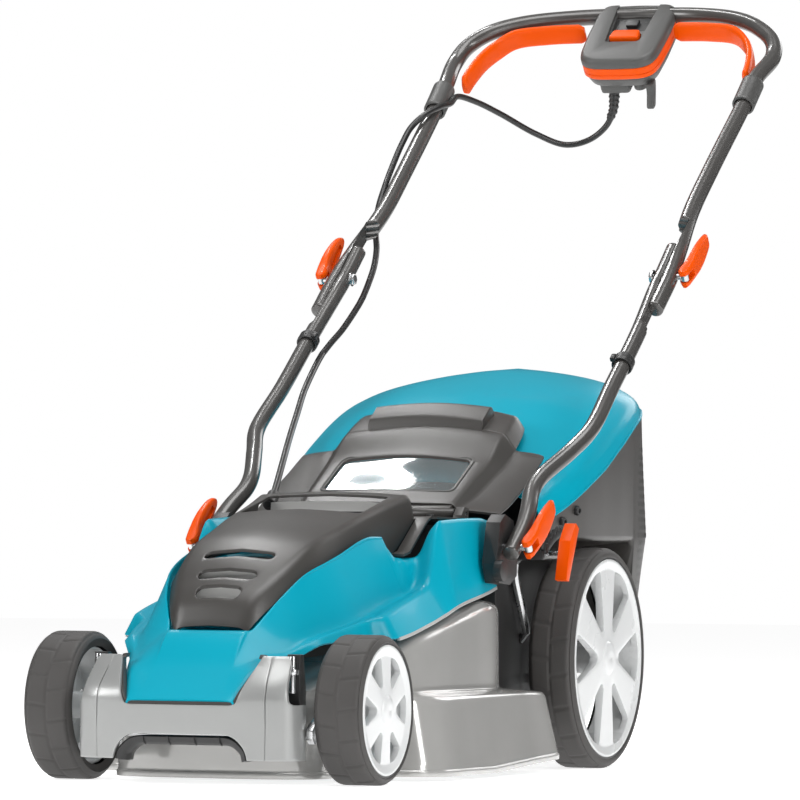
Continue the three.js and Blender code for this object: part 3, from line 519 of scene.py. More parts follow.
def make_floor():
    work = bmesh.new()
    bmesh.ops.create_circle(work, cap_ends=True, segments=96, radius=14)
    mesh = bpy.data.meshes.new("floor")
    work.to_mesh(mesh)
    work.free()
    mesh.materials.append(material("floor_pale", (0.8, 0.8, 0.8), 0.75, tint=0.005, bump=0.01,
                                   Emission_Color=(1, 1, 1, 1), Emission_Strength=0.76))
    add_to_scene("floor", mesh)


make_floor()
SCENE.view_settings.view_transform = "Standard"

# ---------- Deck ----------

DECK_RIM = [
    (0, -42), (60, -40), (100, -28), (118, -2), (119, 60), (122, 91), (150, 112), (186, 124),
    (203, 152), (206, 240), (206, 330), (205, 430), (203, 508), (186, 514), (140, 514), (118, 514),
]
DECK_LEDGE = [
    (0, -40), (59, -38), (97, -27), (114, -2), (115, 60), (119, 94), (144, 118), (174, 130),
    (188, 156), (192, 240), (192, 330), (191, 430), (190, 494), (176, 504), (138, 506), (118, 506),
]
DECK_TIER = [
    (0, -38), (57, -36), (94, -26), (110, -2), (111, 60), (115, 96), (140, 121), (158, 134),
    (168, 158), (172, 240), (172, 330), (172, 384), (162, 424), (142, 452), (120, 470), (117, 471),
]
DECK_TOP = np.array([(-42, 98), (60, 126), (96, 134), (122, 146), (240, 172), (330, 188), (385, 195), (520, 195)])


def stepped_in(outline, distance):
    """An outline's points moved towards the middle of the deck."""
    ahead = headings(outline)
    moved = outline + distance * np.column_stack([-ahead[:, 1], ahead[:, 0]])
    moved[0, 0] = 0
    return moved


def deck():
    outlines = []
    for points in (DECK_RIM, DECK_LEDGE, DECK_TIER):
        path = path_through(np.column_stack([points, np.zeros(len(points))]), 160)
        path[0, 0] = 0
        outlines.append(path[:, :2])
    rim, ledge, tier = outlines
    rim_height = np.clip(5 + (rim[:, 1] - 300) * 0.05, 5, 16)
    top = smooth(tier[:, 1], *DECK_TOP.T)
    levels = [
        (stepped_in(rim, 3), rim_height + 0.5), (stepped_in(rim, 0), rim_height + 0.2),
        (stepped_in(rim, 0), rim_height + 6.5), (stepped_in(rim, 1.8), rim_height + 7.5),
        (stepped_in(rim * 0.93 + ledge * 0.07, 1.6), rim_height + 12), (ledge, 91), (tier, 96),
        (stepped_in(tier, 1.2), 100), (stepped_in(tier, 2.6), top - 8), (stepped_in(tier, 16), top),
        (stepped_in(tier, 60), top),
    ]
    columns = [np.column_stack([points, np.broadcast_to(height, len(points))]) for points, height in levels]
    columns[-1][:, 0] = np.maximum(columns[-1][:, 0], 0)
    lines = [both_sides(line) for line in rounded(columns, [0.6, 0.8, 0.8, 2, 9, 4, 3, 7, 7], 4)]
    keep(grid("deck_shell_moulding", lines, "deck_grey", thick=2.6, sharp=50), "deck_shell")


deck()

# ---------- Bonnet and motor cowl ----------

# y, middle height, the flat's half width, its crease's height, then four pairs of x and z down the side
BONNET = [
    (-107, 90.5, 45, 90.5, 54, 90, 58, 89.5, 60, 89, 62, 86),
    (-70, 125, 45, 125, 70, 124, 74, 122, 76, 120, 78, 116),
    (-30, 163, 45, 163, 78, 141, 85, 138, 89, 136, 92, 130),
    (-25, 150, 46, 166, 80, 144, 86, 140, 91, 138, 94, 131),
    (14, 188, 66, 204, 97, 158, 103, 155, 110, 156, 117, 150),
    (48, 212, 77, 226, 105, 165, 111, 162, 121, 165, 127, 152),
    (93, 226, 85, 240, 113, 176, 118, 171, 133, 175, 137, 153),
    (112, 229, 86.5, 245, 115, 180, 121, 175, 147, 181, 161, 155),
    (207, 239, 91.5, 267, 118, 204, 124, 196, 145, 203, 165, 172),
    (228, 240, 92.5, 267, 119, 209, 124.5, 200, 145, 208, 166, 177),
    (242, 240, 93, 242, 116, 241, 125, 206, 144, 214, 166, 180),
    (292, 240, 93, 242, 120, 241, 127, 272, 140, 286, 163, 190),
    (407, 240, 93, 242, 122, 241, 128, 284, 146, 288, 157, 206),
    (428, 240, 93, 242, 122, 241, 128, 282, 145, 286, 156, 210),
]
# y, middle height, x and z of the top's edge, x and z of the foot
COWL = [
    (-24.5, 168, 36, 166, 42, 161),
    (-14, 194, 42, 190, 51, 175),
    (18, 223, 55, 217, 66, 200),
    (48, 243, 63, 235, 75.5, 216),
    (93, 264, 70, 256, 83.5, 229),
    (150, 279, 75, 271, 87, 236),
    (199, 290, 79, 284, 90, 242),
    (264, 303, 84, 298, 92.2, 246),
    (322, 315, 91, 311, 97, 284),
]


def edge_strips(name, edge, section, look, sharp, bevel, **kept):
    """A thin strip along an edge on each side."""
    for side, side_name in SIDES:
        rings = [[point * [side, 1, 1] + [side * a, 0, b] for a, b in section] for point in edge]
        keep(loft(f"{name}_{side_name}", rings, look, sharp, bevel), **kept)


def bonnet():
    split = [(y, floor, half, floor, half + 2, crease, *rest) for y, floor, half, crease, *rest in BONNET]
    columns = table_columns(split, each=5)
    lines = both_halves(rounded(columns, [3, 5, 9, 7, 7], 5))
    keep(grid("bonnet_moulding", lines, "cyan_cover", thick=2.6, sharp=50), "bonnet")
    edge = columns[-1][columns[-1][:, 1] > 112]
    section = ((0.3, 0.4), (0.8, -3.2), (-2.6, -3.6), (-2.6, 0.4))
    edge_strips("bonnet_trim", edge, section, "trim_grey_and_slot_reflection", 50, 0.4, body="deck", slot="deck_grey")


def cowl():
    top = [(y, middle, top_x * 0.55, middle - (middle - top_z) * 0.35, top_x, top_z, foot_x, foot_z)
           for y, middle, top_x, top_z, foot_x, foot_z in COWL]
    lines = both_halves(rounded(table_columns(top, each=5), [14, 7], 6))
    cover = grid("motor_cowl_moulding", lines, "dark_grey_cover", thick=2.8, sharp=50)
    cutters = [rounded_box((-72, 72), (222, 309), (255, 340), 5)]
    for y, half, z in ((-4, 26, 200), (20, 34, 219), (54, 41, 241)):
        cutters.append(rounded_box((-half, half), (y - 7, y + 7), (z - 22, z + 40), 6.9))
    carve(cover, cutters, 45)
    keep(bevelled(cover, 0.7, 2, 50, 45), "motor_cowl")
    # A floor under the cowl's slots in the light trim grey: the grey is a painted reflection seen through the slots.
    floor = []
    for y, z, half in ((-14, 169, 32), (-6, 179, 36), (8, 197, 42), (30, 212, 48), (56, 229, 50), (80, 242, 52)):
        floor.append([(x, y, z - (x / 45) ** 2 * 5) for x in np.linspace(-half, half, 15)])
    bed = grid("cowl_slot_bed_painted_reflection", rounded(floor, 6, 4), "trim_grey_and_slot_reflection", thick=1.5)
    keep(bed, body="deck", slot="black_plastic")


def intake():
    start, length, half = 223, 86, 71
    made = []
    for share in (0.2, 0.47, 0.74):
        y, top = start + share * length, 286 + share * 9
        outline = [(y, 262), (y + 5, 262), (y + 9, top - 3), (y + 8, top), (y + 5, top), (y + 4, top - 3)]
        made.append(outline_prism("slat", outline, (-half, half), "black_plastic", axis=0, bevel=0.8))
    bed = [(start, 262), (start + length, 268), (start + length, 271), (start, 265)]
    made.append(outline_prism("bed", bed, (-half, half), "black_plastic", axis=0, bevel=0.5))
    keep(join_all("intake_grille_moulding", made), "intake_grille")
    back = [[(x, y, z - (x / half) ** 2 * 2) for x in np.linspace(-70, 70, 25)]
            for y, z in ((296, 272), (304, 283), (307, 296), (307.6, 304))]
    keep(grid("intake_back", rounded(back, 3, 4), "trim_grey_and_slot_reflection", thick=1.2), body="deck", slot="dark_grey_cover")


def rear_tray():
    refined("rear_tray", 1.2)
    for side, name in SIDES[::-1]:
        screw = turned("tray_screw_" + name, [(0, 290.6), (3.6, 290.6), (4.2, 289.8), (4.2, 286)],
                       (side * 104, 352), "black_plastic", axis="z", sides=28)
        keep(screw, body="deck", slot="black_plastic")


bonnet()
cowl()
intake()
rear_tray()

# ---------- Front bumper ----------

BUMPER_LEAN = np.array([(27, -106), (90, -107), (137, -74)], float)
BUMPER_SWEEP = np.array([(0, -1), (60, -1), (100, 4), (120, 13), (126, 26)], float)
WINDOW = [(-63, 85), (63, 85), (66, 90), (86, 150), (-86, 150), (-66, 90)]
ARCH = [(-79, 10), (79, 10), (76, 38), (60, 54), (-60, 54), (-76, 38)]
STEP = [(110, 145), (119, 86), (140, 84), (140, 145)]
SEAM = [(95.6, 20), (96.6, 60), (96.2, 100), (90, 141), (91, 141), (97.2, 100), (97.6, 60), (96.6, 20)]


def bumper_front(x, z):
    """Where the bumper's front face is, along Y."""
    return float(smooth(z, *BUMPER_LEAN.T) + np.interp(abs(x), *BUMPER_SWEEP.T))


def bumper_cutter(outline, depths=(-150, -20)):
    return outline_prism("cutter", outline, depths, "black_plastic", axis=1)


def bumper():
    lines = []
    for z in [27, 27.8, *np.linspace(30, 134, 40), 136.2, 137]:
        front = float(smooth(z, *BUMPER_LEAN.T))
        if z in (27, 137):
            front += 1.2
        half = [*[(x, front + dy) for x, dy in BUMPER_SWEEP], (126, max(-60, front + 34))]
        half = rounded_path(half, [20, 14, 9, 7], 6)
        lines.append(both_sides(np.column_stack([half, np.full(len(half), z)])))
    face = grid("front_bumper_face", lines, "bumper_silver", thick=3.6, outward=(0, -1, 0), sharp=50)
    cutters = [bumper_cutter(rounded_outline(WINDOW, 9)), bumper_cutter(rounded_outline(ARCH, 11))]
    for side in (-1, 1):
        cutters.append(bumper_cutter(rounded_outline([(x * side, z) for x, z in STEP], 4)))
        groove = bumper_cutter([(x * side, z) for x, z in SEAM], (-112, -60))
        for vertex in groove.data.vertices:
            x, z = abs(vertex.co.x * 1000), vertex.co.z * 1000
            shift = 1.0 if vertex.co.y > place([0, -80, 0])[1] else -6.0
            vertex.co.y = place([0, bumper_front(x, z) + shift, 0])[1]
        cutters.append(groove)
    carve(face, cutters, 45)
    keep(bevelled(face, 0.9, 3, 40, 45), "front_fascia")


def bumper_window_lip():
    """A dark flange just inside the bumper's window, open at the top."""
    edge = np.array(rounded_outline([(x, min(z, 137.5)) for x, z in WINDOW], 9, 10))
    middle = np.array([0, edge[:, 1].mean()])
    widest_gap = np.argmax(np.linalg.norm(np.roll(edge, -1, axis=0) - edge, axis=1))
    edge = np.roll(edge, -widest_gap - 1, axis=0)
    rings = []
    for k, here in enumerate(edge):
        ahead = edge[min(k + 1, len(edge) - 1)] - edge[max(k - 1, 0)]
        inward = np.array([-ahead[1], ahead[0]]) / np.linalg.norm(ahead)
        if inward.dot(middle - here) < 0:
            inward = -inward
        ring = []
        for a, depth in ((-0.8, 2.2), (3.6, 2.2), (3.6, 11.2), (-0.8, 11.2)):
            x, z = here + inward * a
            ring.append((x, bumper_front(x, z) + depth, z))
        rings.append(ring)
    keep(loft("bumper_window_lip", rings, "dark_grey_cover", sharp=50, bevel=0.5), body="deck", slot="black_plastic")


def lifting_grip():
    """The arch's grip: a channel whose section is round towards the fingers, with shallow ribs."""
    path = rounded_path(((-76, 27), (-73.5, 38), (-58, 52), (58, 52), (73.5, 38), (76, 27)), [6, 12, 12, 6], 8)
    path = np.vstack([*[np.linspace(a, b, 4)[:-1] for a, b in zip(path, path[1:])], path[-1:]])
    rings = []
    for k, (x, z) in enumerate(path):
        ahead = path[min(k + 1, len(path) - 1)] - path[max(k - 1, 0)]
        inward = np.array([ahead[1], -ahead[0]]) / np.linalg.norm(ahead)
        section = ((0, -101), (1.5, -102), (6.5, -99), (9.5, -93), (10.2, -84), (9, -73), (7.5, -72), (0, -72))
        rings.append([(x + inward[0] * a, y, z + inward[1] * a) for a, y in section])
    rib = [(-101.5, 51.8), (-103.2, 51), (-101, 44.4), (-94, 41.6), (-92, 43)]
    ribs = [outline_prism("rib", rib, (x - 0.8, x + 0.8), "black_plastic", axis=0, bevel=0.3, segments=2)
            for x in (-44, -15, 15, 44)]
    grip = loft("grip_bar", rings, "black_plastic", sharp=60)
    keep(join_all("lifting_grip_moulding", [grip, *ribs]), "lifting_grip")


def axle_posts():
    for side, name in SIDES:
        refined("axle_post_" + name, 2.0, 3)
        at = (side * 112, -64.5)
        pin = turned("pin", [(0, 137), (3.4, 137), (3.6, 136.4), (3.6, 100), (3.2, 98), (0, 98)], at, "steel",
                     axis="z", sides=28)
        clip = turned("clip", [(4.4, 123), (6.6, 123), (7, 122), (7, 118.5), (6.6, 117.5), (4.4, 117.5),
                               (4.4, 123)], at, "steel", axis="z", sides=32)
        keep(join_all("axle_pin_" + name, [pin, clip]), body="deck", slot="steel")


bumper()
bumper_window_lip()
lifting_grip()
axle_posts()

# ---------- Wheels ----------

FRONT_WHEEL = {"radius": 80, "rim": 69.8, "inner": 139.5, "outer": 195.9, "y": 0, "z": 80, "hub": 14, "pads": 15}
REAR_WHEEL = {"radius": 127.2, "rim": 114.1, "inner": 152.3, "outer": 208.4, "y": 659.2, "z": 127.2, "hub": 18,
              "pads": 20}
TREAD_DEPTH = 1.1
DRUM_STEP = 6.4
AXLE_BORE = 6.4
SPOKES = 6


def tread_depth(across, turn, pads):
    """How deep the tread's grooves are at a place: two rows of tapered pads, half a pad out of step."""
    row = 0.0 if across < 0 else 0.5
    share = (turn / (2 * np.pi) * pads + row + 0.12 * abs(across)) % 1
    away = np.minimum(share, 1 - share) * 2 * np.pi / pads
    side_groove = np.clip(1.6 - away * 58, 0, 1) * (abs(across) < 0.86)
    middle_groove = np.clip(1.3 - abs(across) * 22, 0, 1)
    edge_groove = np.clip(1.3 - abs(abs(across) - 0.84) * 30, 0, 1)
    return TREAD_DEPTH * np.maximum(side_groove, max(middle_groove, edge_groove))


def tyre(wheel):
    radius, rim, inner, outer = wheel["radius"], wheel["rim"], wheel["inner"], wheel["outer"]
    middle, half = (inner + outer) / 2, (outer - inner) / 2
    profile = rounded_path((
        (rim - 6, inner + 4), (rim + 2, inner + 1.2), (radius - 8, inner + 0.2), (radius - 0.2, inner + 6),
        (radius, inner + 13), (radius, outer - 13), (radius - 0.2, outer - 6), (radius - 6, outer - 0.2),
        (rim + 2.6, outer - 0.2), (rim + 2.2, outer - 1.6), (rim + 0.4, outer - 1.6), (rim + 0.4, outer - 6),
        (rim - 6, outer - 8)), [2, 3, 5, 3, 3, 5, 3, 0.7, 0.6, 0.8, 0.6], 6)
    fine = [profile[0]]
    for a, b in zip(profile, profile[1:]):
        steps = max(1, math.ceil(np.linalg.norm(b - a) / (1.5 if a[0] > radius - 3 else 6)))
        fine.extend(a + (b - a) * t for t in np.linspace(0, 1, steps + 1)[1:])
    turn = around(wheel["pads"] * 26)
    lines = []
    for reach, at in fine:
        on_tread = np.clip((reach - (radius - 4)) / 2, 0, 1)
        away = reach - tread_depth((at - middle) / half, turn, wheel["pads"]) * on_tread
        lines.append(np.column_stack([np.full(len(turn), at), wheel["y"] + away * np.cos(turn),
                                      wheel["z"] + away * np.sin(turn)]))
    return grid("tyre", lines, "tread", ring=True, sharp=35)


def spoke_gap(wheel, k):
    """One opening between two spokes: narrow and round by the hub, wide and bowed by the rim."""
    near, far = wheel["hub"] + 8 + wheel["rim"] * 0.08, wheel["rim"] - DRUM_STEP - 6
    half = [(near, near * 0.13), (far * 0.97, far * 0.29), (far * 1.03, far * 0.1)]
    outline = [*[(a, -b) for a, b in half], *half[::-1]]
    c, s = math.cos(2 * math.pi * k / SPOKES), math.sin(2 * math.pi * k / SPOKES)
    outline = [(wheel["y"] + a * c - b * s, wheel["z"] + a * s + b * c)
               for a, b in rounded_outline(outline, wheel["rim"] * 0.05, 6)]
    return outline_prism("gap", outline, (wheel["inner"] - 5, wheel["outer"] + 9), "white_rim", axis=0)


def rim(wheel):
    edge, hub, inner, outer = wheel["rim"], wheel["hub"], wheel["inner"], wheel["outer"]
    face, drum = outer - 9, edge - DRUM_STEP
    profile = rounded_path((
        (AXLE_BORE, inner + 10), (hub, inner + 10), (hub + 1, face - 3), (drum - 3, face - 1),
        (drum - 3, inner + 8), (drum, inner + 8), (drum, outer - 7.2), (edge, outer - 5.2), (edge, outer - 1.2),
        (edge - 3, outer - 1.0), (drum - 2, outer - 2.4), (drum - 5, outer - 3.2), (hub + 4, outer - 1.6),
        (hub + 1.5, outer - 1.4), (hub, outer + 0.6), (hub - 3, outer + 1.9), (0.5, outer + 2.4)),
        [0.8, 0.8, 2, 2, 0.6, 0.6, 1.0, 0.6, 1.2, 1.2, 1.5, 2, 0.8, 0.8, 1], 4)
    back = [(0.5, outer - 11), (AXLE_BORE, outer - 11), (AXLE_BORE, inner + 10), profile[0]]
    made = turned("rim", [*profile, *back], (wheel["y"], wheel["z"]), "white_rim", sides=120)
    carve(made, [spoke_gap(wheel, k) for k in range(SPOKES)], 35)
    return bevelled(made, 1.1, 3, 38, 35)


def ring_line(wheel):
    """The thin black line between tyre and rim."""
    edge, outer = wheel["rim"], wheel["outer"]
    profile = [(edge + 0.4, outer - 4), (edge + 0.4, outer - 1.5), (edge + 2.1, outer - 1.5),
               (edge + 2.1, outer - 4), (edge + 0.4, outer - 4)]
    return turned("ring", profile, (wheel["y"], wheel["z"]), "ring_black", sides=160)


for end, wheel in (("front", FRONT_WHEEL), ("rear", REAR_WHEEL)):
    for _, side in SIDES:
        moulded = {"tyre": tyre(wheel), "rim": rim(wheel), "ring": ring_line(wheel)}
        for part, piece in moulded.items():
            if side == "left":
                piece.data.transform(Matrix.Scale(-1, 4, (1, 0, 0)))
                clean(piece, 35)
            if part == "ring":
                piece.name = f"{end}_ring_{side}"
                keep(piece, body=f"{end}_wheel_{side}", slot="tread")
            else:
                piece.name = f"{end}_{part}_{side}_moulding"
                keep(piece, f"{end}_{part}_{side}")

# ---------- Handle tubes ----------

LOWER_TUBE, UPPER_TUBE, CABLE = 9.5, 10.1, 3.8
CLAMP_X = 207.5
CLAMP_SPAN = (762, 933)
RIGHT_LOWER_TUBE = [
    (187, 387, 246), (187, 398, 254), (187, 428, 276), (183, 455, 297), (176, 486, 319), (178, 506, 333),
    (195, 555, 363), (207, 590, 388), (206, 665, 440), (206, 757, 507), (203, 821, 556), (202.5, 847, 575),
    (202.5, 892, 611),
]
RIGHT_LOOP = [
    (213, 793, 534), (213, 847, 575), (208, 895, 611), (200, 960, 658), (200, 1035, 715), (203, 1148, 801),
    (204, 1184, 832), (211, 1234, 864), (203, 1255, 885), (180, 1270, 903), (144, 1292, 916), (80, 1324, 925),
    (0, 1335, 927),
]
COLLAR = [(202.9, 1143, 797.2), (203.3, 1161, 812.3), (203.8, 1178, 827)]
HANDLE_SLOPE = math.radians(35.6)


def pressed_flat(limit, outwards):
    """Presses a tube's wall flat where two tubes are clamped together."""
    def shape(ring):
        ring = ring.copy()
        inside = (ring[:, 1] > CLAMP_SPAN[0]) & (ring[:, 1] < CLAMP_SPAN[1])
        over = np.clip((np.abs(ring[:, 0]) - limit) * outwards, 0, None) * inside
        ring[:, 0] -= np.sign(ring[:, 0]) * over * outwards
        return ring
    return shape


def sleeve(name, points, inner, outer, look, lip=0.0):
    """A short tube over a tube, with round edges."""
    line = path_through(points, 24)
    ahead = headings(line)
    turn = around(48)

    def ring(k, radius, shift=0.0):
        up = np.cross(ahead[k], [1, 0, 0])
        up /= np.linalg.norm(up)
        side = np.cross(ahead[k], up)
        return line[k] + ahead[k] * shift + radius * (np.outer(np.cos(turn), up) + np.outer(np.sin(turn), side))

    last = len(line) - 1
    rings = [ring(0, inner), ring(0, outer - 0.9), ring(0, outer - 0.25, 0.25), ring(0, outer, 0.9)]
    rings += [ring(k, outer + (lip if 6 < k < 10 else 0)) for k in range(2, last - 1)]
    rings += [ring(last, outer, -0.9), ring(last, outer - 0.25, -0.25), ring(last, outer - 0.9), ring(last, inner)]
    rings += [ring(k, inner) for k in range(last - 1, 0, -3)]
    return grid(name, [*rings, rings[0]], look, ring=True, sharp=45)


def tube_clip(name, start, end):
    """A tie round the tube, with its catch."""
    points = np.array([start, (np.array(start) + end) / 2, end], float)
    band = sleeve("band", points, LOWER_TUBE + 1.2, 12.6, "black_plastic", lip=0.2)
    side = np.sign(start[0])
    catch = rounded_box((-3, 3), (-4.5, 4.5), (-3, 3), 1.6, axis=1)
    for move in (Matrix.Translation(Vector((0, -FRONT_AXLE_Y, 0))), Matrix.Rotation(HANDLE_SLOPE, 4, "X"),
                 Matrix.Translation(Vector(place(points[1] + [-side * 10.4, -5.5, 6.5])))):
        catch.data.transform(move)
    keep(join_all(name + "_tie", [band, bevelled(catch, 0.5, 2)]), name)


for side, name in SIDES:
    keep(sweep(f"lower_tube_{name}_bent", np.array(RIGHT_LOWER_TUBE) * [side, 1, 1], LOWER_TUBE, "coated_tube",
               count=150, sides=36, shape=pressed_flat(CLAMP_X, 1)), "lower_tube_" + name)
loop_path = np.vstack([RIGHT_LOOP, (np.array(RIGHT_LOOP) * MIRROR)[-2::-1]])
keep(sweep("handle_loop_bent", loop_path, UPPER_TUBE, "coated_tube", count=420, sides=36,
           shape=pressed_flat(CLAMP_X + 0.4, -1)), "handle_loop")
for side, name in SIDES:
    keep(sleeve(f"loop_collar_{name}_moulding", np.array(COLLAR) * [side, 1, 1], UPPER_TUBE + 1.3, 14,
                "console_grey"), "loop_collar_" + name)
tube_clip("tube_clip_right", (206.1, 699, 464.8), (206.1, 710, 472.8))
tube_clip("tube_clip_left", (-206.1, 738, 493), (-206.1, 749, 501))

# ---------- Clamp levers and bolts ----------

# the bolt's start, then x, y and z of the lever's pin
CLAMPS = {"lower_clamp": (164, 204.5, 398, 254), "upper_clamp": (192.4, 231.6, 847, 575)}


def lever_arm():
    """A cam lever's bowed, tapered arm, in its own frame: out of the tube, along it and across it."""
    stations = [(-6.6, 11.4), (-5.0, 11.4), (0, 11.4), (8, 11.4), (16, 11.6), (24, 12.4), (32, 13.4), (44, 13.6),
                (56, 12.6), (68, 10.8), (78, 8.4), (84.5, 6.2), (87.2, 4.6)]
    places = np.concatenate([np.linspace(-6.6, 0, 8), np.linspace(0, 87.2, 60)[1:]])
    widths = smooth(places, *np.transpose(stations))
    outers = smooth(places, [-7, 0, 2, 7, 20, 40, 76, 88], [3, 6.8, 7.0, 7.8, 8.9, 8.9, 8.0, 3.6])
    inners = smooth(places, [-7, 0, 5, 14, 30, 60, 88], [-2.6, -6.8, -6.8, -5.0, -2.0, -0.8, 0.2])
    rings = []
    for along, wide, outer, inner in zip(places, widths, outers, inners):
        half = wide * (1 - 0.35 * np.clip((along - 82) / 5.2, 0, 1) ** 2) * 0.995
        ring = []
        for turn in around(28):
            c, s = math.cos(turn), math.sin(turn)
            a = np.sign(c) * abs(c) ** 0.5
            b = np.sign(s) * abs(s) ** 0.42
            ring.append(((outer + inner) / 2 + a * (outer - inner) / 2, along, b * half))
        rings.append(ring)
    return rings


def on_clamp(points, side, pin):
    """Turns a lever's points to the tube's slope and moves them to its pin."""
    points = np.array(points, float)
    c, s = math.cos(HANDLE_SLOPE), math.sin(HANDLE_SLOPE)
    sloped = np.stack([points[..., 0], points[..., 1] * c - points[..., 2] * s,
                       points[..., 1] * s + points[..., 2] * c], axis=-1)
    return (sloped + pin) * [side, 1, 1]


def clamp_lever(name, side, pin):
    """The arm, forked round the bolt's eye and hollowed at its back."""
    def cutter(*blocks):
        rings = [[(x0, y, -z1), (x1, y, -z1), (x1, y, z1), (x0, y, z1)] for y, x0, x1, z1 in blocks]
        return loft("cutter", on_clamp(rings, side, pin), "orange_plastic")

    lever = loft(name + "_moulding", on_clamp(lever_arm(), side, pin), "orange_plastic", sharp=50)
    carve(lever, [cutter((-12, -12, 12, 4.8), (13, -12, 12, 4.8)), cutter((30, -6, 1, 6.5), (74, -6, 2.6, 3.4))])
    keep(bevelled(lever, 0.7, 3, 42), name)


def clamp_bolt(name, side, start, pin):
    def part(points, sides):
        return turned("part", [(radius, side * x) for radius, x in points], pin[1:], "steel", sides=sides)

    rod = part([(0.05, start), (4, start), (4, pin[0]), (0.05, pin[0])], 40)
    head = part([(0.05, start - 4.4), (6.2, start - 4.4), (7.2, start - 3.6), (7.2, start - 0.3),
                 (0.05, start - 0.3)], 6)
    washer = part([(4, start - 0.2), (8.6, start - 0.2), (8.6, start + 1.0), (4, start + 1.0)], 48)
    eye = [(0.05, -10.4), (2.0, -10.4), (2.3, -10.1), (2.3, -4.4), (4.4, -4.4), (4.9, -3.9), (4.9, 3.9), (4.4, 4.4),
           (2.3, 4.4), (2.3, 10.1), (2.0, 10.4), (0.05, 10.4)]
    rings = [[(r * math.cos(t), r * math.sin(t), z) for t in around(36)] for r, z in eye]
    eye = grid("eye", on_clamp(rings, side, pin), "steel", ring=True)
    keep(join_all(name + "_turned", [rod, bevelled(head, 0.3, 2, sharp=35), washer, eye]), name)


for kind, (start, *pin) in CLAMPS.items():
    for side, name in SIDES:
        clamp_lever(f"{kind}_lever_{name}", side, pin)
        clamp_bolt(f"{kind}_bolt_{name}", side, start, pin)

# ---------- Mains lead ----------

UPPER_RUN = [
    (-16, 1286, 820), (-17, 1286, 806), (-26, 1287, 786), (-50, 1288, 768), (-80, 1283, 762), (-112, 1262, 775),
    (-146, 1228, 798), (-168, 1196, 812), (-183, 1170, 817), (-184.5, 1150, 807), (-190, 1130, 802),
    (-202, 1109, 791), (-214, 1094, 775), (-219, 1076, 754), (-219, 1040, 720), (-216, 1009, 694),
    (-214, 984, 667), (-208, 962, 638), (-198, 940, 616), (-190, 912, 593), (-186, 884, 571), (-184, 862, 554),
]
LOWER_RUN = [(-184, 861.4, 553.6), (-184, 847, 543), (-185, 800, 513), (-187, 769, 496), (-188, 744, 482)]
TAIL = [
    (-188, 743.4, 481.7), (-185, 720, 470), (-172, 650, 436), (-156, 590, 408), (-140, 530, 380), (-120, 460, 348),
    (-103, 400, 320), (-92, 360, 304), (-88, 341, 300),
]


def lead(node, run, count):
    return sweep(node + "_sheath", run, CABLE, "lead_rubber", count=count, sides=20, ends=False)


def bending_lead(node, run, count, start, end):
    """A length of lead along a run, standing in for a CAD node."""
    made = lead(node, run, count)
    tuple(place(start))
    tuple(place(end))
    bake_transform(made)
    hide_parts(node)


bending_lead("cable_upper", UPPER_RUN, 260, UPPER_RUN[-1], UPPER_RUN[15])
keep(lead("cable_lower", LOWER_RUN, 60), "cable_lower")
bending_lead("cable_tail", TAIL, 160, TAIL[7], TAIL[0])
gland = sleeve("lead_gland", [(-97, 379, 311), (-91, 357, 303), (-88, 344, 300)], CABLE + 0.1, 7, "black_plastic")
keep(gland, body="deck", slot="black_plastic")

# ---------- Switch console ----------

CONSOLE_AT = (0, 1243, 862)
CONSOLE_SLOPE = math.radians(38)
CONSOLE_HALF = [(0, -8), (32, -7), (46, 1), (51, 16), (53, 60), (52, 112), (44, 124), (0, 126)]


def on_console(points):
    """Points in the console's own frame (across, along its slope, out of its face), set on the handle."""
    points = np.array(points, float)
    c, s = math.cos(CONSOLE_SLOPE), math.sin(CONSOLE_SLOPE)
    return np.stack([points[..., 0] + CONSOLE_AT[0], points[..., 1] * c - points[..., 2] * s + CONSOLE_AT[1],
                     points[..., 1] * s + points[..., 2] * c + CONSOLE_AT[2]], axis=-1)


def console_outline(step_in):
    """The console's outline with round corners, moved inwards."""
    half = np.array(CONSOLE_HALF, float)
    full = np.vstack([half, (half * [-1, 1])[-2:0:-1]])
    round_corners = np.array(rounded_outline(full, 9, 8))
    middle = np.array([0, 59])
    size = np.array([53, 67])
    return middle + (round_corners - middle) * (1 - (step_in + 0.4) / size)


def console_solid(name, levels, look, cutters, bevel=0.0):
    """The console's outline at several heights, each moved inwards, less its cutters."""
    rings = []
    for height, step_in in levels:
        outline = console_outline(step_in)
        rings.append(on_console(np.column_stack([outline, np.full(len(outline), height)])))
    made = loft(name, rings, look)
    carve(made, cutters, 35)
    return bevelled(made, bevel, 3, 40) if bevel else made


def console_block(corners, radius, levels, look, bevel=0.0):
    """An outline with round corners on the console's face, between two heights."""
    outline = rounded_outline(corners, radius) if radius else corners
    made = loft("block", [on_console([(a, b, height) for a, b in outline]) for height in levels], look)
    return bevelled(made, bevel, 3, 40) if bevel else made


def console_barrel(across, along, radius, levels, look, bevel, sides):
    """A round block on the console's face."""
    outline = [(across + radius * math.cos(t), along + radius * math.sin(t)) for t in around(sides)]
    return console_block(outline, 0, levels, look, bevel)


def crossbar_cutter():
    points = [(-144, 1292, 916), (-80, 1324, 925), (0, 1335, 927), (80, 1324, 925), (144, 1292, 916)]
    return sweep("crossbar", points, UPPER_TUBE + 0.7, "coated_tube", count=60, sides=28, ends=False)


def cable_hook():
    """The hook for the lead's loop, under the console."""
    outline = [(-2, -34), (14, -34), (8, -44), (-6, -61.5), (-10, -62.4), (-15, -62), (-15.4, -59), (-4, -44)]
    rings = [on_console([(x, u, h) for u, h in rounded_outline(outline, 3)]) for x in (34, 35, 42, 43)]
    for k in (0, 3):
        middle = rings[k].mean(axis=0)
        rings[k] = middle + (rings[k] - middle) * 0.93
    return loft("hook", rings, "console_grey", 50)


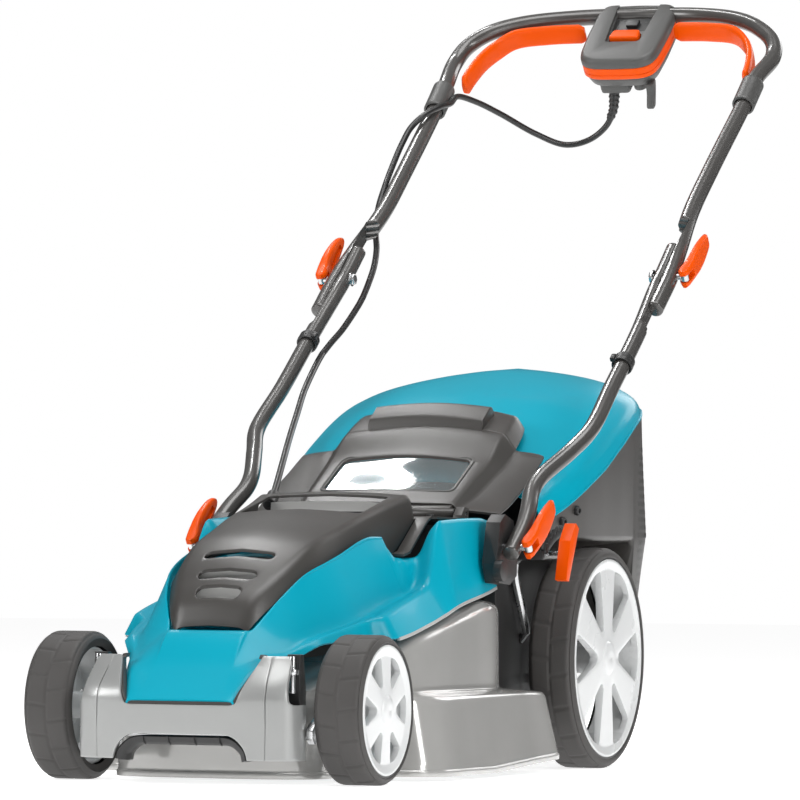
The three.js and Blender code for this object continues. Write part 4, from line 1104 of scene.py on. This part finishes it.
def console():
    recess = console_block([(-23.5, 66), (23.5, 66), (26, 110), (-26, 110)], 5, (-2.5, 30), "ring_black")
    well = console_block([(-21, 42.4), (21, 42.4), (18.5, 61.6), (-18.5, 61.6)], 4, (-5, 30), "ring_black")
    channel = console_block([(-23, 36), (23, 36), (29, 140), (-29, 140)], 6, (2.2, 30), "ring_black")
    levels = [(-6, 0.6), (-5.4, 0), (0.6, 0), (3.2, 0.8), (5.2, 2.2), (6.5, 4.2), (7, 6.6)]
    keep(console_solid("console_top_moulding", levels, "console_grey", [channel, recess, well, crossbar_cutter()], 0.7),
         "console_top")
    latch = console_block([(-8, 78), (8, 78), (8, 92), (-8, 92)], 2.5, (-2.0, 3.6), "black_plastic", 0.8)
    liner = console_block([(-22.9, 66.6), (22.9, 66.6), (25, 99), (-25, 99)], 5, (-2.4, -1.4), "black_plastic", 0.3)
    keep(join_all("console_latch", [latch, liner]), body="upper_handle", slot="black_plastic")
    levels = [(-23, 3.2), (-22.4, 1.6), (-21, 0.6), (-16.4, 0.4), (-16, 1.1), (-15.4, 1.1), (-15, 0.4), (-7, 0.4),
              (-6.4, 1.0)]
    keep(console_solid("console_band_moulding", levels, "orange_plastic", [crossbar_cutter()]), "console_band")
    levels = [(-37, 9.5), (-36.2, 7.6), (-34, 6.4), (-27, 3.8), (-24.2, 3.0), (-23.4, 3.2)]
    pieces = [
        console_solid("base", levels, "console_grey", [crossbar_cutter()]),
        console_block([(-30, 4), (8, 4), (8, 34), (-30, 34)], 5, (-50, -35.5), "console_grey", 1.6),
    ]
    for low in (8, 14, 20, 26):
        rib = [(-30.8, low), (-27, low), (-27, low + 3), (-30.8, low + 3)]
        pieces.append(console_block(rib, 0.8, (-48, -37), "console_grey", 0.4))
    for across, along in ((20, 16), (-2, 44), (22, 44)):
        pieces.append(console_barrel(across, along, 8.5, (-49, -35.5), "console_grey", 1.4, 36))
    keep(join_all("console_base_moulding", [*pieces, cable_hook()]), "console_base")
    screws = [console_barrel(across, along, 3.4, (-38.6, -36.4), "steel", 0.4, 24)
              for across, along in ((-34, 18), (34, 18), (0, 108))]
    keep(join_all("console_screws", screws), body="upper_handle", slot="steel")
    rings = []
    for height, shrink in ((0.2, 0), (6.8, 0), (8.2, 0.5), (8.8, 1.3), (9, 2.6)):
        outline = np.array(rounded_outline([(-20, 43.2), (20, 43.2), (17.4, 60.8), (-17.4, 60.8)], 3.6))
        middle = outline.mean(axis=0)
        outline = middle + (outline - middle) * (1 - shrink / np.array([19, 9]))
        rings.append(on_console(np.column_stack([outline, np.full(len(outline), height)])))
    keep(loft("safety_button_cap", rings, "orange_plastic", 50), "safety_button")


console()


def strain_relief():
    """The ribbed sleeve where the lead leaves the console."""
    line = path_through([(-15.6, 1285, 832), (-16, 1286, 820), (-17, 1286, 806), (-22, 1286.6, 793)], 40)
    ahead = headings(line)
    turn = around(28)
    rings = []
    for k in range(40):
        side = np.cross(ahead[k], [0, 1, 0])
        side /= np.linalg.norm(side)
        up = np.cross(side, ahead[k])
        radius = 7.2 - 2.4 * k / 39 + (0.5 if (k // 3) % 2 else -0.3)
        if k in (0, 39):
            radius = 3.9
        rings.append(line[k] + radius * (np.outer(np.cos(turn), side) + np.outer(np.sin(turn), up)))
    made = grid("strain_relief", rings, "black_plastic", ring=True, sharp=50)
    keep(made, body="upper_handle", slot="black_plastic")


strain_relief()

START_BAR = [(186, 1202, 829), (184, 1222, 845), (177, 1248, 866), (165, 1266, 881), (147, 1277, 894),
             (107, 1290, 900), (60, 1300, 902)]


def start_bar(side, name):
    """A curved lever along the loop, swelling from its ends."""
    up = np.array([0, -math.sin(HANDLE_SLOPE), math.cos(HANDLE_SLOPE)])
    line = path_through(START_BAR, 110)
    ahead = headings(line)
    rings = []
    for k in range(len(line)):
        across = np.cross(ahead[k], up)
        across /= np.linalg.norm(across)
        share = k / (len(line) - 1)
        swell = min(1, 0.55 + share * 14, 0.72 + (1 - share) * 9)
        ring = []
        for turn in around(32):
            c, s = math.cos(turn), math.sin(turn)
            a = 4.6 * np.sign(c) * abs(c) ** 0.62
            b = 13.2 * np.sign(s) * abs(s) ** 0.7 + 1.2
            ring.append((line[k] + across * a * swell + up * b * swell) * [side, 1, 1])
        rings.append(ring)
    keep(loft(f"start_bar_{name}_moulding", rings, "orange_plastic", 60), "start_bar_" + name)


for side, name in SIDES:
    start_bar(side, name)

# ---------- Discharge flap ----------

FLAP = [
    (452, 304, 92, 303, 98, 297, 149, 292),
    (478, 318, 94, 316, 102, 305, 152, 303),
    (520, 343, 96, 337, 106, 323, 152.5, 322),
    (552, 362, 98, 353, 109, 338, 151.5, 337),
    (594, 391, 98, 382, 112, 360, 149.5, 359),
    (601, 395, 98, 385, 113, 365, 132, 363),
]
FLAP_HEAD = [
    (601, 395, 98, 385, 112.5, 366),
    (630, 411, 97, 399, 109, 380),
    (650, 419, 95, 406, 105, 390),
    (663, 417, 91, 405, 99, 394),
]
FLAP_PIN = (440, 291)
FLAP_BOW = 1.8


def flap_height(x, y):
    """The plateau's height at a place."""
    rows = np.array(FLAP, float)
    middle, edge_x, edge_z = (float(smooth([y], rows[:, 0], rows[:, k])[0]) for k in (1, 2, 3))
    return middle - (middle - edge_z) * (abs(x) / edge_x) ** FLAP_BOW


def bowed(table):
    """Columns through a table, with the plateau bowed between its middle and its edge."""
    columns = table_columns(table, each=4)
    middle, edge = columns[0], columns[1]
    between = []
    for share in (0.25, 0.5, 0.75):
        column = middle + (edge - middle) * share
        column[:, 2] = middle[:, 2] - (middle[:, 2] - edge[:, 2]) * share ** FLAP_BOW
        between.append(column)
    return [middle, *between, edge, *columns[2:]]


def flap():
    main, head = (grid("flap", both_halves(rounded(bowed(table), reach, 4)), "dark_grey_cover", thick=2.7, sharp=45)
                  for table, reach in ((FLAP, [4, 4, 4, 4, 3]), (FLAP_HEAD, [4, 4, 4, 4])))
    carve(main, [rounded_box((-79, 79), (481, 548), (280, 400), 8)])
    grip_outline = rounded_outline([(597, 389), (612, 393), (642, 411), (634, 421), (627, 421.5), (603, 406)], 2.5, 4)
    rings = []
    for x in (-71, -70.4, -68.5, *np.linspace(-64, 64, 33), 68.5, 70.4, 71):
        drop = 9 * (abs(x) / 98) ** FLAP_BOW + (1.2 if abs(x) > 70.9 else 0)
        rings.append([(x, y, z - drop) for y, z in grip_outline])
    grip = loft("grip", rings, "dark_grey_cover", 45)
    pieces = [bevelled(main, 0.7, 2, 45), bevelled(head, 0.9, 3, 45), grip]
    y, z = FLAP_PIN
    for low, high in ((-100, -39), (-27, 27), (39, 100)):
        profile = [(3.5, low), (6.0, low), (6.4, low + 0.5), (6.4, high - 0.5), (6.0, high), (3.5, high), (3.5, low)]
        barrel = turned("barrel", profile, (y, z), "dark_grey_cover", sides=40)
        lip = outline_prism("lip", [(y + 4.5, 298), (y + 5.6, 288), (y + 7, 286.4), (456, 292), (456, 303)],
                            (max(low, -92), min(high, 92)), "dark_grey_cover", axis=0, bevel=0.8)
        pieces += [barrel, lip]
    keep(join_all("flap_panel_moulding", pieces), "flap_panel")
    rings = []
    corners = rounded_outline([(-82, 478), (82, 478), (82, 551), (-82, 551)], 10, 8)
    middle, half = np.array([0, 514.5]), np.array([82, 36.5])
    for a, h in ((-0.9, 0), (-0.9, 1.2), (0, 1.7), (0.9, 1.2), (0.9, 0)):
        ring = []
        for corner in corners:
            moved = middle + (corner - middle) * (1 + a / half)
            ring.append((moved[0], moved[1], flap_height(*moved) + h - 0.3))
        rings.append(ring)
    frame_line = grid("flap_window_frame", rings, "console_grey", ring=True, sharp=60)
    keep(frame_line, body="flap", slot="dark_grey_cover")
    pane = [[(x, y, flap_height(x, y) - 3.0) for x in np.linspace(-79.4, 79.4, 33)]
            for y in np.linspace(480.6, 548.4, 18)]
    keep(grid("flap_window_pane", pane, "clear_window", thick=1.4), "flap_window")


flap()

# ---------- Grass collector ----------

HOOD = [
    (556, 160, 281, 156, 300, 108, 322, 330),
    (600, 176, 302, 172, 326, 112, 350, 366),
    (650, 186, 327, 182, 350, 112, 378, 398),
    (700, 189, 349, 184, 374, 118, 402, 420),
    (745, 189, 371, 184, 394, 120, 422, 437),
    (820, 184, 403, 178, 422, 118, 444, 456),
    (880, 166, 418, 158, 433, 106, 454, 467),
    (913, 140, 421, 132, 436, 92, 456, 469),
    (938, 98, 423, 91, 435, 66, 449, 459),
    (951, 54, 425, 50, 432, 36, 438, 442),
]
TUB = [
    (556, 122, 112, 118, 255, 158, 262),
    (600, 122, 112, 118, 255, 172, 262),
    (650, 123, 112, 118, 255, 183, 262),
    (700, 124, 112, 118, 255, 186, 262),
    (745, 125, 112, 118, 255, 187, 262),
    (798, 126, 112, 118, 255, 186, 262),
    (804, 126, 160, 180, 170, 186, 262),
    (820, 126, 160, 179, 170, 184, 262),
    (880, 128, 138, 160, 172, 174, 270),
    (913, 132, 112, 136, 174, 150, 274),
    (938, 142, 76, 98, 180, 110, 276),
    (951, 168, 40, 56, 196, 62, 276),
]


def hood_columns():
    table = [(y, middle, shoulder_x, shoulder_z, haunch_x, haunch_z, rim_x, rim_z)
             for y, rim_x, rim_z, haunch_x, haunch_z, shoulder_x, shoulder_z, middle in HOOD]
    table += [(952.6, 436, 18, 434, 25, 429, 27, 426), (953, 430, 0, 430, 0, 428, 0, 427)]
    return table_columns(table, each=5)


def bow_between(first, second, share, lift):
    """A column between two others, bowed upwards."""
    column = first + (second - first) * share
    column[:, 2] += lift * (4 * share * (1 - share))
    return column


def hood():
    middle, shoulder, haunch, edge = hood_columns()
    lift = np.clip((951 - middle[:, 1]) / 60, 0, 1)
    columns = [middle, *(bow_between(middle, shoulder, share, 2.5 * lift) for share in (0.35, 0.7)), shoulder,
               bow_between(shoulder, haunch, 0.5, 3.5 * lift), haunch, edge]
    lines = both_halves(rounded(columns, [12, 12, 16, 14, 10], 5))
    cover = grid("collector_hood_moulding", lines, "cyan_cover", thick=2.4, sharp=50)
    keep(cover, "collector_hood")
    section = ((0.2, 1.6), (1.0, 1.0), (1.0, -1.2), (0.2, -1.8), (-2.2, -1.8), (-2.2, 1.6))
    edge = edge[(edge[:, 1] > 560) & (edge[:, 1] < 930)]
    edge_strips("hood_lip", edge, section, "cyan_cover", 60, 0.3, body="collector", slot="cyan_cover")


def tub():
    hood_rows = np.array(HOOD, float)
    table = []
    for y, floor, floor_x, wall_x, wall_z, ledge_x, ledge_z in TUB:
        rim_x, rim_z = (np.interp(y, hood_rows[:, 0], hood_rows[:, k]) for k in (1, 2))
        table.append((y, floor, floor_x, floor, wall_x, wall_z, ledge_x, ledge_z, rim_x, rim_z - 0.6))
    table.append((952.6, 190, 20, 190, 28, 206, 31, 276, 27, 425.4))
    table.append((953, 230, 0, 230, 0, 240, 0, 276, 0, 424))
    places = np.concatenate([finer([556, 600, 650, 700, 745, 797], 6), [798, 799, 800, 801, 802, 803, 804],
                             finer([806, 820, 880, 913, 938, 951, 952.6, 953], 5)])
    columns = table_columns(table, places)
    lines = both_halves(rounded(columns, [12, 9, 7], 5))
    keep(grid("collector_tub_moulding", lines, "dark_grey_cover", thick=2.4, outward=(0, 0, -1)), "collector_tub")
    return columns


def studs(name, places, profile, look, sides):
    """Many small turned pieces in one mesh, each at a place and along a direction."""
    turn = around(sides)
    vertices, faces = [], []
    for here, out in places:
        out = out / np.linalg.norm(out)
        up = np.cross(out, [0, 1, 0])
        up /= np.linalg.norm(up)
        side = np.cross(up, out)
        start = len(vertices)
        for radius, height in profile:
            vertices.extend(here + out * height + radius * (np.outer(np.cos(turn), up) + np.outer(np.sin(turn), side)))
        for r in range(len(profile) - 1):
            for c in range(sides):
                d = (c + 1) % sides
                a, b = start + r * sides, start + (r + 1) * sides
                faces.append((a + c, a + d, b + d, b + c))
        faces.append(tuple(range(start, start + sides)))
    return new_object(name, place(vertices), faces, look, 40)


def tub_details(columns):
    wall, ledge, edge = columns[2:5]

    def surface(y, z):
        """The place on the tub's side at a height."""
        section = np.array([[np.interp(y, line[:, 1], line[:, k]) for k in (0, 2)] for line in (wall, ledge, edge)])
        return np.array([np.interp(z, section[:, 1], section[:, 0]), y, z])

    def place_on(y, z):
        along = surface(y + 3, z) - surface(y - 3, z)
        up = surface(y, z + 3) - surface(y, z - 3)
        out = np.cross(along, up)
        return surface(y, z), out * np.sign(out[0])

    holes = []
    for row in range(20):
        for k in range(9):
            y, z = 829 + k * 9.5 + (row % 2) * 4.75, 196 + row * 9.2
            if y < 908:
                holes.append(place_on(y, z))
    clips = [place_on(y, z) for y, z in ((567, 272), (594, 284), (621, 297))]
    vent = [(0.1, -0.5), (2.5, -0.5), (2.5, 0.05), (2.9, 0.12), (3.2, 0.05), (3.2, -0.8)]
    knob = [(2.2, 2.6), (2.6, 4.4), (4.2, 4.4), (5.2, 3.4), (5.6, 1.6), (5.6, -1.2)]
    for side, name in SIDES:
        for kind, places, profile, look, slot, sides in (
            ("vents", holes, vent, "ring_black", "dark_grey_cover", 14),
            ("clips", clips, knob, "black_plastic", "black_plastic", 28),
        ):
            turned_to = [(here * [side, 1, 1], out * [side, 1, 1]) for here, out in places]
            keep(studs(f"tub_{kind}_{name}", turned_to, profile, look, sides), body="collector", slot=slot)


hood()
tub_details(tub())

# ---------- The rest of the chassis, motor, blade and cutting height lever ----------

for node, width in (
    ("rear_frame", 1.2), ("handle_bracket_right", 2.0), ("handle_bracket_left", 2.0), ("height_quadrant", 0.6),
    ("motor_housing", 1.5), ("motor_shaft", 0.5), ("blade", 0.7), ("blade_hub", 0.8), ("blade_bolt", 0.5),
    ("front_axle", 1.0), ("rear_axle", 1.0), ("height_lever", 0.8), ("height_lever_grip", 1.8), ("flap_pin", 0.4),
):
    refined(node, width, 3)
